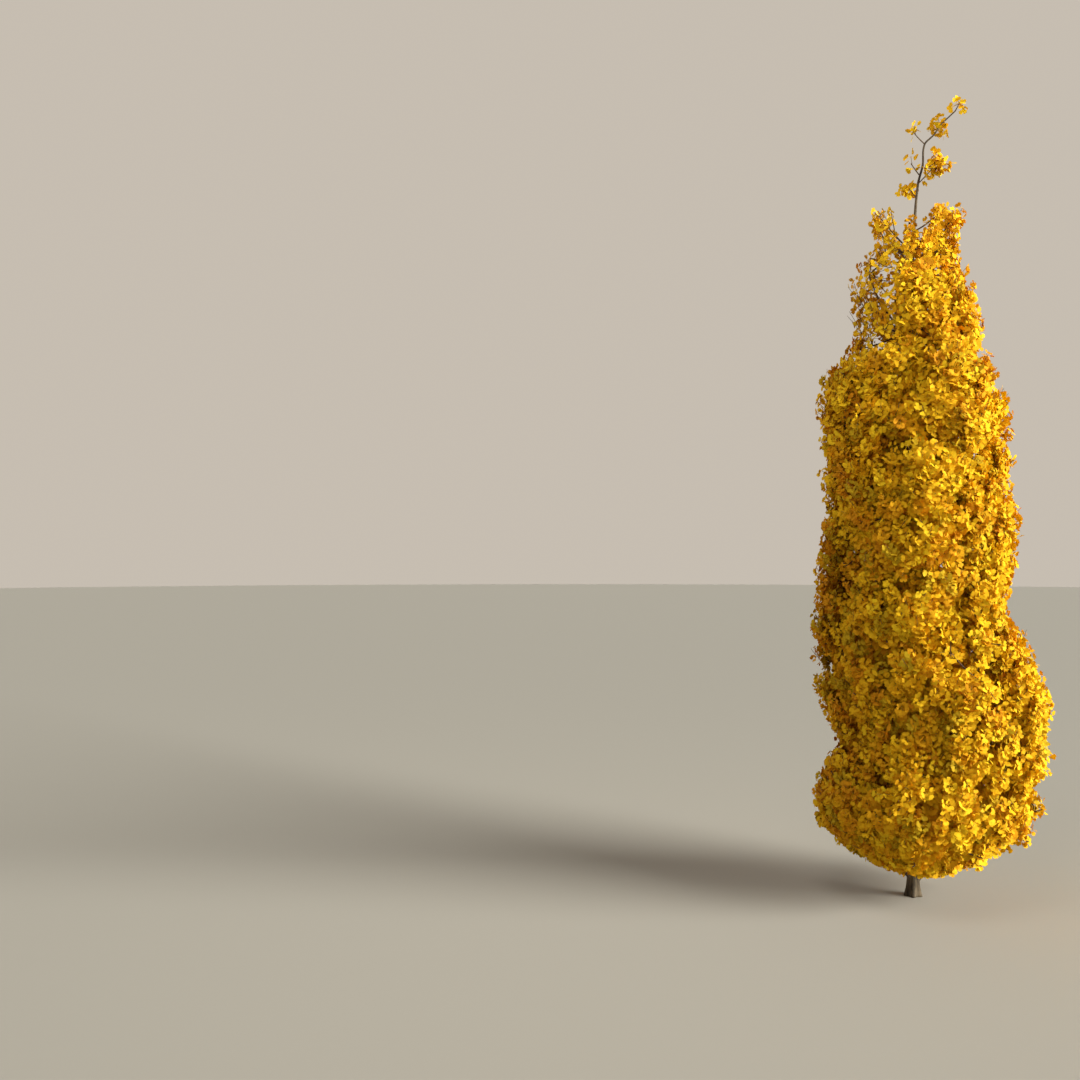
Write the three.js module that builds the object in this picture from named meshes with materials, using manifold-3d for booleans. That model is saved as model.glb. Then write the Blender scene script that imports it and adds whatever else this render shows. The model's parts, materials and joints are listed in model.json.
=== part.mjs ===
// A columnar ginkgo tree in autumn leaf, about 4 m tall, cut off flat at the ground.
// Millimetres, +Z up, origin in the middle of the cut under the trunk, +X to the crown's wider side.
// The trunk runs whole to the tip of the leader. Ascending boughs leave it in tiers of four. Each
// bough carries one mass of foliage, and the masses of the two top tiers and the sprays on the
// leader sit on the trunk itself. Every mass keeps to its own space: a convex cell round its site,
// inside the outline of the crown.
import * as THREE from "three";
import { mergeVertices } from "three/addons/utils/BufferGeometryUtils.js";
import Module from "manifold-3d";

const wasm = await Module();
wasm.setup();
const { Manifold, Mesh: SolidMesh } = wasm;

// Clearances
const SEAT_GAP = 0.3;
const TRUNK_GAP = 0.4;
const CELL_MARGIN = 2;
const GROUND_CLEAR = 25;
const SLIVER = 0.05;

// Trunk: its radius, and how far the leader wanders towards the wide side, at heights
const WIDE_SIDE = THREE.MathUtils.degToRad(-18);
const TRUNK_TIP = 3950;
const TRUNK_RADIUS = [
  [0, 41], [60, 32], [160, 29], [600, 26.5], [1200, 23.5], [2000, 18.5],
  [2800, 13], [3300, 8.2], [3600, 5.6], [3798, 4.4], [3950, 2.8],
];
const TRUNK_LEAN = [
  [0, 0], [60, 0], [160, 0], [900, 9], [1700, -7], [2500, -12], [3080, -10], [3400, 7],
  [3600, 24], [3690, 46], [3798, 56], [3841, 101], [3884, 130], [3950, 203],
];
const TRUNK_SWAY = 9;
const TRUNK_SWAY_LENGTH = 520;
const TRUNK_SIDES = 10;
const TRUNK_KNOTS = [...TRUNK_RADIUS, ...TRUNK_LEAN].map(([height]) => height);
const TRUNK_RINGS = [...new Set(TRUNK_KNOTS)].sort((low, high) => low - high);
const ROOT_LOBES = 5;
const ROOT_LOBE_DEPTH = 0.16;
const ROOT_LOBE_HEIGHT = 70;

// Crown outline: how far the leaf tips reach from the trunk at heights, on the two sides
const REACH_NARROW = [
  [90, 40], [240, 330], [420, 515], [820, 435], [1080, 480], [1480, 470], [2000, 450],
  [2300, 445], [2620, 415], [2830, 270], [3180, 275], [3300, 185], [3440, 225], [3560, 60],
];
const REACH_WIDE = [
  [90, 40], [240, 490], [420, 605], [820, 630], [1080, 620], [1480, 520], [2000, 495],
  [2300, 480], [2620, 425], [2830, 372], [3180, 245], [3300, 205], [3440, 245], [3560, 80],
];
const LUMP_DEPTH = 0.045;
const LUMP_HEIGHT = 230;

// Tiers of foliage, from the ground up: height of the masses' sites, how many there are round the
// trunk, the azimuth of the first, and whether boughs carry them
const TIERS = [
  { letter: "a", height: 400, count: 4, turn: 20, boughs: true, coreDepth: 82, leaf: 124, spacing: 240 },
  { letter: "b", height: 930, count: 4, turn: 68, boughs: true, coreDepth: 82, leaf: 124, spacing: 240 },
  { letter: "c", height: 1470, count: 4, turn: 22, boughs: true, coreDepth: 82, leaf: 124, spacing: 240 },
  { letter: "d", height: 2000, count: 4, turn: 70, boughs: true, coreDepth: 82, leaf: 124, spacing: 240 },
  { letter: "e", height: 2500, count: 4, turn: 26, boughs: true, coreDepth: 78, leaf: 116, spacing: 206 },
  { letter: "f", height: 2925, count: 3, turn: 65, boughs: false, coreDepth: 62, leaf: 100, spacing: 165 },
  { letter: "g", height: 3290, count: 3, turn: 5, boughs: false, coreDepth: 0, leaf: 84, spacing: 156 },
];
const SITE_SHARE = 0.56;
const CELL_HEIGHT_SCALE = 0.8;
const CHANNEL_SHARE = 0.29;
const CHANNEL_CLEAR = 9;

// Sprays on the bare leader: where each leaves the trunk, and the middle and reach of its leaves
const SPRAYS = [
  { name: "foliage_leader_left", from: 3530, side: -22, depth: 20, height: 3592, reach: 62 },
  { name: "foliage_leader_right", from: 3600, side: 110, depth: -20, height: 3682, reach: 84 },
  { name: "foliage_leader_mid", from: 3640, side: -10, depth: -15, height: 3700, reach: 60 },
  { name: "foliage_fork", from: 3798, side: 4, depth: 0, height: 3858, reach: 50 },
  { name: "foliage_leader_high", from: 3841, side: 122, depth: 28, height: 3888, reach: 64 },
  { name: "foliage_tip", from: 3948, side: 220, depth: -8, height: 3982, reach: 62 },
];

// Boughs: they leave the trunk low, bend up beside it and end short of their mass's inner boundary
const BOUGH_RISE = 250;
const BOUGH_LOWEST = 42;
const BOUGH_STEP = 12;
const BOUGH_TIP_DROP = 120;
const BOUGH_TIP_INSET = 16;
const BOUGH_BEND_SHARE = 0.45;
const BOUGH_BEND_OUT = 0.2;
const BOUGH_SIDES = 5;
const BOUGH_RINGS = 4;
const BOUGH_BASE_SHARE = 0.46;
const BOUGH_BASE_EXTRA = 3;
const BOUGH_TIP_SHARE = 0.62;

// Stems: one in each mass, that its twigs branch from
const STEM_SIDES = 5;
const STEM_RINGS = 3;
const STEM_BASE_SHARE = 0.96;
const STEM_TIP_RADIUS = 4.5;
const STEM_TOP_RISE = 150;
const STEM_TOP_OUT = 0.1;
const STEM_BEND = 90;
const TRUNK_STEM_DROP = 130;
const TRUNK_STEM_RISE = 80;
const SPRAY_STEM_RADII = [3, 2.2];
const SPRAY_STEM_BOW = 4;

// Twigs: spread evenly under the outline, each ending in a rosette of leaves
const TWIG_SIDES = 3;
const TWIG_RADII = [6, 3.6];
const TWIG_FROM = [0.2, 0.85];
const SPRAY_TWIG_RADII = [2.2, 1.8];
const SPRAY_TWIG_FROM = [0.7, 0.95];
const TWIG_TRIES = 260;
const TIP_CLEAR_SHARE = 0.3;
const TIP_LEAST_SHARE = 0.33;
const EVEN_STEPS = [0.7548776662, 0.569840291];

// Leaves: fans far larger than life, each for a cluster of real ones. Lengths run from the root.
const LEAVES_PER_TWIG = 3;
const LEAF_SPREAD = 0.07;
const LEAF_ATTEMPTS = 5;
const LEAF_ATTEMPT_TURN = 0.35;
const LEAF_LENGTHS = [0.9, 1.1];
const LEAF_WIDTH_SHARE = 1.2;
const LEAF_SHOULDER = 0.84;
const LEAF_MIDDLE = 0.6;
const LEAF_THICK_SHARE = 0.045;
const LEAF_SUNK = 2.5;
const LEAF_ROOM_SHARE = 0.42;
const LEAF_OUTWARD = 0.45;
const LEAF_PROUD = 16;
const LEAF_SPACING = 0.5;
const LEAF_TRUNK_CLEAR = 8;
const SPRAY_LEAF = 58;
const SPRAY_SPACING = 80;

// Cores: the lumpy middle of a dense mass
const CORE_DETAIL = 1;
const CORE_ROUNDING = 12;
const CORE_LUMPS = [0.94, 1];
const CORE_MARGIN = 4;

// Seeds and steps
const MASS_SEED = 1001;
const MASS_SEED_STEP = 97;
const MARCH_STEP = 12;
const MARCH_MOST = 1200;
const MERGE = 1e-4;

// Colours
const BARK = 0x4a3b2c;
const BARK_ROUGHNESS = 0.9;
const LEAF_ROUGHNESS = 0.6;
const GOLDS = [0xd8a016, 0xe0ac1c, 0xcf9414, 0xe8b422, 0xc98f18];

// Random numbers from 0 to 1 that are the same on every run
function seeded(seed) {
  let state = seed >>> 0;
  return () => {
    state = (state + 0x6d2b79f5) >>> 0;
    let mixed = Math.imul(state ^ (state >>> 15), 1 | state);
    mixed = (mixed + Math.imul(mixed ^ (mixed >>> 7), 61 | mixed)) ^ mixed;
    return ((mixed ^ (mixed >>> 14)) >>> 0) / 4294967296;
  };
}

// A smooth value through knots [height, value], level beyond the ends
function through(knots, height) {
  const last = knots.length - 1;
  if (height <= knots[0][0]) return knots[0][1];
  if (height >= knots[last][0]) return knots[last][1];
  const i = knots.findIndex((knot) => knot[0] > height) - 1;
  const slope = (a, b) => (knots[b][1] - knots[a][1]) / (knots[b][0] - knots[a][0]);
  const span = knots[i + 1][0] - knots[i][0];
  const t = (height - knots[i][0]) / span;
  const leaving = slope(Math.max(i - 1, 0), i + 1) * span;
  const arriving = slope(i, Math.min(i + 2, last)) * span;
  return (
    knots[i][1] * (2 * t ** 3 - 3 * t ** 2 + 1) +
    leaving * (t ** 3 - 2 * t ** 2 + t) +
    knots[i + 1][1] * (3 * t ** 2 - 2 * t ** 3) +
    arriving * (t ** 3 - t ** 2)
  );
}

// The trunk's axis at a height
function axisAt(height) {
  const lean = through(TRUNK_LEAN, height);
  const rising = Math.min(height / TRUNK_SWAY_LENGTH, 1);
  const sway = TRUNK_SWAY * rising ** 2 * Math.sin(height / TRUNK_SWAY_LENGTH);
  return new THREE.Vector3(
    lean * Math.cos(WIDE_SIDE) - sway * Math.sin(WIDE_SIDE),
    lean * Math.sin(WIDE_SIDE) + sway * Math.cos(WIDE_SIDE),
    height,
  );
}

// How far the crown reaches from the trunk at a height and azimuth
function reachAt(height, azimuth) {
  if (height < REACH_WIDE[0][0] || height > REACH_WIDE[REACH_WIDE.length - 1][0]) return 0;
  const wide = through(REACH_WIDE, height);
  const narrow = through(REACH_NARROW, height);
  const plain = (wide + narrow) / 2 + ((wide - narrow) / 2) * Math.cos(azimuth - WIDE_SIDE);
  const lumps = Math.sin(3 * azimuth + height / LUMP_HEIGHT) + Math.sin(5 * azimuth - height / LUMP_HEIGHT);
  return plain * (1 + LUMP_DEPTH * lumps);
}

// A closed solid from a three.js geometry
function solidOf(geometry) {
  geometry.deleteAttribute("normal");
  geometry.deleteAttribute("uv");
  const merged = mergeVertices(geometry, MERGE);
  return new Manifold(
    new SolidMesh({
      numProp: 3,
      vertProperties: new Float32Array(merged.attributes.position.array),
      triVerts: new Uint32Array(merged.index.array),
    }),
  );
}

// A round limb that tapers along a path: radiusAt(share, angle) gives its radius
function limb(path, radiusAt, sides, rings, side) {
  const geometry = new THREE.CylinderGeometry(1, 1, 1, sides, rings);
  const position = geometry.attributes.position;
  for (let i = 0; i < position.count; i += 1) {
    const share = position.getY(i) + 0.5;
    const tangent = path.getTangent(share);
    const across = side.clone().addScaledVector(tangent, -side.dot(tangent)).normalize();
    const outward = across.clone().cross(tangent);
    const radius = radiusAt(share, Math.atan2(position.getZ(i), position.getX(i)));
    const point = path.getPoint(share);
    point.addScaledVector(across, position.getX(i) * radius);
    point.addScaledVector(outward, position.getZ(i) * radius);
    position.setXYZ(i, point.x, point.y, point.z);
  }
  return solidOf(geometry);
}

// The leader from the ground to its tip, as a curve that gives each stretch between two rings the
// same share
class LeaderCurve extends THREE.Curve {
  heightAt(share) {
    const place = share * (TRUNK_RINGS.length - 1);
    const below = Math.min(Math.floor(place), TRUNK_RINGS.length - 2);
    return THREE.MathUtils.lerp(TRUNK_RINGS[below], TRUNK_RINGS[below + 1], place - below);
  }

  getPoint(share) {
    return axisAt(this.heightAt(share));
  }
}

// The trunk, or with a growth above zero the same body that much larger all round
function trunkSolid(growth) {
  const path = new LeaderCurve();
  const radiusAt = (share, angle) => {
    const height = path.heightAt(share);
    const lobe = ROOT_LOBE_DEPTH * Math.exp(-height / ROOT_LOBE_HEIGHT) * Math.cos(ROOT_LOBES * angle);
    return through(TRUNK_RADIUS, height) * (1 + lobe) + growth;
  };
  const body = limb(path, radiusAt, TRUNK_SIDES, TRUNK_RINGS.length - 1, new THREE.Vector3(1, 0, 0));
  return growth > 0 ? body.add(tipCap(path, growth)) : body;
}

// A short length that carries the grown trunk past its tip
function tipCap(path, growth) {
  const tip = path.getPoint(1);
  const past = tip.clone().addScaledVector(path.getTangent(1), growth);
  const before = tip.clone().addScaledVector(path.getTangent(1), -growth);
  const radius = through(TRUNK_RADIUS, TRUNK_TIP) + growth;
  return limb(new THREE.LineCurve3(before, past), () => radius, TRUNK_SIDES, 1, new THREE.Vector3(1, 0, 0));
}

const trunk = trunkSolid(0);
const trunkWithGap = trunkSolid(TRUNK_GAP);

// A number between the two ends of a range
const between = (range, share) => THREE.MathUtils.lerp(range[0], range[1], share);

// A straight-sided twig between two points
function twigSolid(from, to, radii) {
  const along = to.clone().sub(from).normalize();
  const steep = Math.abs(along.z) > 0.9;
  const side = new THREE.Vector3(steep ? 1 : 0, 0, steep ? 0 : 1);
  return limb(new THREE.LineCurve3(from, to), (share) => between(radii, share), TWIG_SIDES, 1, side);
}

// The six corners of a fan leaf: root, tip, two shoulders, and the two faces' middles
function leafCorners(root, along, face, length) {
  const across = along.clone().cross(face).normalize();
  const half = (length * LEAF_WIDTH_SHARE) / 2;
  const thick = (length * LEAF_THICK_SHARE) / 2;
  const at = (share) => root.clone().addScaledVector(along, share * length);
  return {
    root: root.clone().addScaledVector(along, -LEAF_SUNK),
    tip: at(1),
    left: at(LEAF_SHOULDER).addScaledVector(across, half),
    right: at(LEAF_SHOULDER).addScaledVector(across, -half),
    front: at(LEAF_MIDDLE).addScaledVector(face, thick),
    back: at(LEAF_MIDDLE).addScaledVector(face, -thick),
  };
}

// One leaf: an octahedron whose corners are moved to the leaf's own
function leafSolid(corners) {
  const geometry = new THREE.OctahedronGeometry(1, 0);
  const position = geometry.attributes.position;
  for (let i = 0; i < position.count; i += 1) {
    const [x, y, z] = [position.getX(i), position.getY(i), position.getZ(i)];
    let corner = x > 0 ? corners.tip : corners.root;
    if (Math.abs(z) > 0.5) corner = z > 0 ? corners.left : corners.right;
    if (Math.abs(y) > 0.5) corner = y > 0 ? corners.front : corners.back;
    position.setXYZ(i, corner.x, corner.y, corner.z);
  }
  return solidOf(geometry);
}

// A flat boundary through a point
function boundary(normal, point) {
  const inward = normal.clone().normalize();
  return { inward, offset: inward.dot(point) };
}

// How far a point lies on the inner side of a boundary
const roomAt = (side, point) => side.inward.dot(point) - side.offset;

// The masses round the trunk: each one's site, the direction out of the trunk, and its inner limit
function tierMasses() {
  const masses = [];
  TIERS.forEach((tier) => {
    for (let k = 0; k < tier.count; k += 1) {
      const azimuth = THREE.MathUtils.degToRad(tier.turn + (360 / tier.count) * k);
      const outward = new THREE.Vector3(Math.cos(azimuth), Math.sin(azimuth), 0);
      const reach = reachAt(tier.height, azimuth);
      const axis = axisAt(tier.height);
      masses.push({
        ...tier,
        number: k + 1,
        name: `foliage_${tier.letter}${k + 1}`,
        outward,
        reach,
        axis,
        site: axis.clone().addScaledVector(outward, reach * SITE_SHARE),
        channel: tier.boughs ? reach * CHANNEL_SHARE : through(TRUNK_RADIUS, tier.height) + CHANNEL_CLEAR,
      });
    }
  });
  return masses;
}

// The sprays of a few leaves on the bare leader
function sprayMasses() {
  return SPRAYS.map((spray) => {
    const start = axisAt(spray.from);
    const site = new THREE.Vector3(spray.side, spray.depth, spray.height);
    site.applyAxisAngle(new THREE.Vector3(0, 0, 1), WIDE_SIDE);
    const outward = site.clone().sub(start).setZ(0).normalize();
    const leaves = { leaf: SPRAY_LEAF, spacing: SPRAY_SPACING };
    return { ...spray, ...leaves, spray: true, coreDepth: 0, start, site, outward };
  });
}

const scaled = (point) => new THREE.Vector3(point.x, point.y, point.z * CELL_HEIGHT_SCALE);

// Gives each mass the planes halfway to every other site, and one that keeps it off the trunk
function addCells(masses) {
  for (const mass of masses) {
    mass.cell = masses
      .filter((other) => other !== mass)
      .map((other) => {
        const normal = scaled(mass.site).sub(scaled(other.site));
        normal.z *= CELL_HEIGHT_SCALE;
        return boundary(normal, mass.site.clone().add(other.site).multiplyScalar(0.5));
      });
    if (!mass.spray) {
      const inner = mass.axis.clone().addScaledVector(mass.outward, mass.channel);
      mass.cell.push(boundary(mass.outward, inner));
    }
  }
}

// How far a point lies inside a mass's outline
function outlineRoom(mass, point) {
  if (mass.spray) return mass.reach - point.distanceTo(mass.site);
  const axis = axisAt(point.z);
  const x = point.x - axis.x;
  const y = point.y - axis.y;
  return reachAt(point.z, Math.atan2(y, x)) - Math.hypot(x, y);
}

// How far a point lies inside a mass's cell
function cellRoom(mass, point) {
  return Math.min(...mass.cell.map((side) => roomAt(side, point)));
}

// How far a point lies off the trunk's bark
function trunkRoom(point) {
  const axis = axisAt(Math.min(point.z, TRUNK_TIP));
  return point.distanceTo(axis) - through(TRUNK_RADIUS, point.z);
}

// How far a ray from a mass's site goes before it is a depth below the outline
function outlineDistance(mass, direction, depth) {
  const point = mass.site.clone();
  let distance = 0;
  while (outlineRoom(mass, point) > depth && point.z > GROUND_CLEAR && distance < MARCH_MOST) {
    point.addScaledVector(direction, MARCH_STEP);
    distance += MARCH_STEP;
  }
  return distance;
}

// The smaller, lumpy body in the middle of a dense mass, rounded off inside cell and outline
function coreSolid(mass, random) {
  const ball = new THREE.IcosahedronGeometry(1, CORE_DETAIL);
  ball.deleteAttribute("normal");
  ball.deleteAttribute("uv");
  const geometry = mergeVertices(ball, MERGE);
  const position = geometry.attributes.position;
  for (let i = 0; i < position.count; i += 1) {
    const direction = new THREE.Vector3().fromBufferAttribute(position, i).normalize();
    const walls = mass.cell
      .map((side) => [roomAt(side, mass.site) - CORE_MARGIN, -side.inward.dot(direction)])
      .filter(([, closing]) => closing > 0)
      .map(([room, closing]) => room / closing);
    walls.push(outlineDistance(mass, direction, mass.coreDepth));
    const nearness = walls.reduce((total, wall) => total + wall ** -CORE_ROUNDING, 0);
    const distance = nearness ** (-1 / CORE_ROUNDING) * between(CORE_LUMPS, random());
    const point = mass.site.clone().addScaledVector(direction, distance);
    position.setXYZ(i, point.x, point.y, point.z);
  }
  return solidOf(geometry);
}

// A bough: from inside the trunk, out and up to the inner boundary of its mass
function boughCurve(mass) {
  const tipHeight = mass.height - BOUGH_TIP_DROP;
  const footHeight = Math.max(tipHeight - BOUGH_RISE, BOUGH_LOWEST + BOUGH_STEP * mass.number);
  const foot = axisAt(footHeight);
  const tip = axisAt(tipHeight).addScaledVector(mass.outward, mass.channel - BOUGH_TIP_INSET);
  const bend = foot.clone().lerp(tip, BOUGH_BEND_SHARE);
  bend.addScaledVector(mass.outward, mass.channel * BOUGH_BEND_OUT);
  return new THREE.QuadraticBezierCurve3(foot, bend, tip);
}

// A bough's radius along it, which its mass's stem carries on
function boughRadius(mass, share) {
  const base = through(TRUNK_RADIUS, mass.height) * BOUGH_BASE_SHARE + BOUGH_BASE_EXTRA;
  return base * between([1, BOUGH_TIP_SHARE], share);
}

function boughSolid(mass) {
  const radiusAt = (share) => boughRadius(mass, share);
  return limb(boughCurve(mass), radiusAt, BOUGH_SIDES, BOUGH_RINGS, sideOf(mass)).subtract(trunkWithGap);
}

// The level direction across a mass, which its bough and stem bend square to
function sideOf(mass) {
  return new THREE.Vector3(-mass.outward.y, mass.outward.x, 0);
}

// The stem of a mass, from its bough's tip or the trunk to the upper, outer part of its space
function stemCurve(mass) {
  if (mass.spray) {
    const bow = mass.start.clone().lerp(mass.site, 0.5).addScaledVector(mass.outward, SPRAY_STEM_BOW);
    return new THREE.QuadraticBezierCurve3(mass.start, bow, mass.site);
  }
  const top = mass.site.clone().addScaledVector(mass.outward, mass.reach * STEM_TOP_OUT);
  if (mass.boughs) {
    const bough = boughCurve(mass);
    const along = bough.getTangent(1);
    const start = bough.getPoint(1).addScaledVector(along, SEAT_GAP);
    top.z += STEM_TOP_RISE;
    return new THREE.QuadraticBezierCurve3(start, start.clone().addScaledVector(along, STEM_BEND), top);
  }
  const start = axisAt(mass.height - TRUNK_STEM_DROP);
  top.z += TRUNK_STEM_RISE;
  return new THREE.QuadraticBezierCurve3(start, start.clone().lerp(top, 0.5), top);
}

// Tries a leaf that heads away from a twig's tip: its corners if it keeps to the space, or nothing
function placeLeaf(mass, root, outward, angle, length, taken) {
  const level = new THREE.Vector3(-outward.y, outward.x, 0).normalize();
  const rising = outward.clone().cross(level).normalize();
  const along = outward
    .clone()
    .multiplyScalar(LEAF_OUTWARD)
    .addScaledVector(level, Math.cos(angle))
    .addScaledVector(rising, Math.sin(angle))
    .normalize();
  const face = outward.clone().addScaledVector(along, -outward.dot(along)).normalize();
  const corners = leafCorners(root, along, face, length);
  const middle = corners.front.clone().add(corners.back).multiplyScalar(0.5);
  const fits = [corners.tip, corners.left, corners.right, corners.front, corners.back].every(
    (corner) =>
      cellRoom(mass, corner) > CELL_MARGIN &&
      outlineRoom(mass, corner) > -LEAF_PROUD &&
      trunkRoom(corner) > LEAF_TRUNK_CLEAR &&
      corner.z > GROUND_CLEAR,
  );
  const apart = taken.every((other) => other.distanceTo(middle) > LEAF_SPACING * length);
  if (!fits || !apart) return null;
  taken.push(middle);
  return corners;
}

// Points spread evenly under the outline of a mass, where its twigs end
function twigTips(mass) {
  const tips = [];
  for (let k = 0; k < TWIG_TRIES; k += 1) {
    const lift = 1 - 2 * ((k * EVEN_STEPS[0]) % 1);
    const turn = 2 * Math.PI * ((k * EVEN_STEPS[1]) % 1);
    const ring = Math.sqrt(1 - lift * lift);
    const direction = new THREE.Vector3(ring * Math.cos(turn), ring * Math.sin(turn), lift);
    const distance = outlineDistance(mass, direction, mass.leaf * LEAF_ROOM_SHARE);
    const tip = mass.site.clone().addScaledVector(direction, distance);
    const clear = cellRoom(mass, tip) > mass.leaf * TIP_CLEAR_SHARE && tip.z > GROUND_CLEAR * 2;
    const apart = tips.every((other) => other.distanceTo(tip) > mass.spacing);
    if (clear && apart && distance > mass.leaf * TIP_LEAST_SHARE) tips.push(tip);
  }
  return tips;
}

// A twig from the stem to a tip with a rosette of leaves, or nothing where no leaf fits
function twigWithLeaves(mass, stem, tip, random, taken) {
  const from = stem.getPoint(between(mass.spray ? SPRAY_TWIG_FROM : TWIG_FROM, random()));
  const outward = tip.clone().sub(mass.spray ? mass.start : axisAt(tip.z)).normalize();
  const turn = 2 * Math.PI * random();
  const leaves = [];
  for (let k = 0; k < LEAVES_PER_TWIG; k += 1) {
    const root = from.clone().lerp(tip, 1 - LEAF_SPREAD * (k + 0.5));
    const length = mass.leaf * between(LEAF_LENGTHS, random());
    let corners = null;
    for (let attempt = 0; attempt < LEAF_ATTEMPTS && !corners; attempt += 1) {
      const angle = turn + (2 * Math.PI * k) / LEAVES_PER_TWIG + attempt * LEAF_ATTEMPT_TURN;
      corners = placeLeaf(mass, root, outward, angle, length, taken);
    }
    if (corners) leaves.push(leafSolid(corners));
  }
  if (leaves.length === 0) return null;
  const twig = twigSolid(from, tip, mass.spray ? SPRAY_TWIG_RADII : TWIG_RADII);
  return leaves.reduce((joined, leaf) => joined.add(leaf), twig);
}

// A whole mass: stem, core if it is dense, and its twigs, all in one body
function massSolid(mass, index) {
  const random = seeded(MASS_SEED + index * MASS_SEED_STEP);
  const stem = stemCurve(mass);
  const radii = mass.spray ? SPRAY_STEM_RADII : [boughRadius(mass, 1) * STEM_BASE_SHARE, STEM_TIP_RADIUS];
  const sides = mass.spray ? TWIG_SIDES : STEM_SIDES;
  let solid = limb(stem, (share) => between(radii, share), sides, STEM_RINGS, sideOf(mass));
  if (mass.coreDepth > 0) solid = solid.add(coreSolid(mass, random));
  const taken = [];
  for (const tip of twigTips(mass)) {
    const twig = twigWithLeaves(mass, stem, tip, random, taken);
    if (twig) solid = solid.add(twig);
  }
  return largestBody(mass.boughs ? solid : solid.subtract(trunkWithGap));
}

// The biggest connected body: loose scraps, the shells of sealed hollows and slivers are dropped
function largestBody(solid) {
  const bodies = solid.simplify(SLIVER).decompose();
  return bodies.reduce((best, body) => (body.volume() > best.volume() ? body : best));
}

// A named mesh of one solid
function nodeMesh(name, solid, colour, roughness) {
  const { vertProperties, triVerts } = solid.getMesh();
  const geometry = new THREE.BufferGeometry();
  geometry.setAttribute("position", new THREE.BufferAttribute(new Float32Array(vertProperties), 3));
  geometry.setIndex(new THREE.BufferAttribute(new Uint32Array(triVerts), 1));
  geometry.computeVertexNormals();
  const material = new THREE.MeshStandardMaterial({ color: colour, roughness, metalness: 0 });
  const mesh = new THREE.Mesh(geometry, material);
  mesh.name = name;
  return mesh;
}

const group = new THREE.Group();
group.add(nodeMesh("trunk", trunk, BARK, BARK_ROUGHNESS));

const masses = [...tierMasses(), ...sprayMasses()];
addCells(masses);
masses.forEach((mass, index) => {
  if (mass.boughs) {
    const bough = largestBody(boughSolid(mass));
    group.add(nodeMesh(`bough_${mass.letter}${mass.number}`, bough, BARK, BARK_ROUGHNESS));
  }
  group.add(nodeMesh(mass.name, massSolid(mass, index), GOLDS[index % GOLDS.length], LEAF_ROUGHNESS));
});

export default group;
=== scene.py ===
"""A young columnar ginkgo in golden autumn leaf, about 4 m tall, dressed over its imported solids.

Metres, +Z up, origin in the middle of the cut under the trunk. The trunk and its boughs are meshes
with the bark's relief. Each mass of foliage grows on from its bough, or from the trunk, by the rule
that its solid follows: one stem, twigs to tips spread evenly under the crown's outline, and here
also finer shoots between them, which carry rosettes of fan leaves on short spurs.
"""
import json
import logging
import math
from dataclasses import dataclass, field, fields
from enum import Enum

import bmesh
import bpy
import numpy as np
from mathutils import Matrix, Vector

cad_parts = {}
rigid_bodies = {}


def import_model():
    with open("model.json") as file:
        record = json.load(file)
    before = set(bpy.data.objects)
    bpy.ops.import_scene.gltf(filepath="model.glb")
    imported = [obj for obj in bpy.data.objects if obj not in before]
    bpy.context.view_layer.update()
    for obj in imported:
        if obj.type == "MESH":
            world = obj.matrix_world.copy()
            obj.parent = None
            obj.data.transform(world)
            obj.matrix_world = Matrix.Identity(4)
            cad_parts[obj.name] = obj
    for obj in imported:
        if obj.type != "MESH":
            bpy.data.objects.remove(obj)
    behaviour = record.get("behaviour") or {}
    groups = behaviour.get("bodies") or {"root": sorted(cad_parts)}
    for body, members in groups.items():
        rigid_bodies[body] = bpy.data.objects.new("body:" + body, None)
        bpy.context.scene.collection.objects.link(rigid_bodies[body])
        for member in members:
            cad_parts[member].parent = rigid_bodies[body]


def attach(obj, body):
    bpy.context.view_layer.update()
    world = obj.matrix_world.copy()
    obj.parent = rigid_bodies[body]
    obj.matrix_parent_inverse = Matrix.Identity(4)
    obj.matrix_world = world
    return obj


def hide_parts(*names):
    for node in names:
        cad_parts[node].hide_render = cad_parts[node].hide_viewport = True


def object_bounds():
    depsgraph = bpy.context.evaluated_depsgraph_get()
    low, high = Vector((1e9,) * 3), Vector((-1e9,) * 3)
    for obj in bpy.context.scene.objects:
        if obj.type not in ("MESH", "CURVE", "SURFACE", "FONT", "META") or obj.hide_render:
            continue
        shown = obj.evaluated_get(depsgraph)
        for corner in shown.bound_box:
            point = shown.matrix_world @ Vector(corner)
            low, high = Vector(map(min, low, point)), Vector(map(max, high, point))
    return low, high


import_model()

LOG = logging.getLogger("ginkgo")
CAD_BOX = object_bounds()
MILLIMETRE = 0.001

# The crown's wider side, as an azimuth
WIDE_SIDE = math.radians(-18)

# Trunk: its radius, and how far the leader wanders towards the wide side, at heights
TRUNK_TIP = 3.950
TRUNK_RADIUS = np.array([
    (0, 0.041), (0.060, 0.032), (0.160, 0.029), (0.600, 0.0265), (1.200, 0.0235), (2.000, 0.0185),
    (2.800, 0.013), (3.300, 0.0082), (3.600, 0.0056), (3.798, 0.0044), (3.950, 0.0028),
])
TRUNK_LEAN = np.array([
    (0, 0), (0.060, 0), (0.160, 0), (0.900, 0.009), (1.700, -0.007), (2.500, -0.012), (3.080, -0.010),
    (3.400, 0.007), (3.600, 0.024), (3.690, 0.046), (3.798, 0.056), (3.841, 0.101), (3.884, 0.130),
    (3.950, 0.203),
])
TRUNK_SWAY = 0.009
TRUNK_SWAY_LENGTH = 0.520

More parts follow.
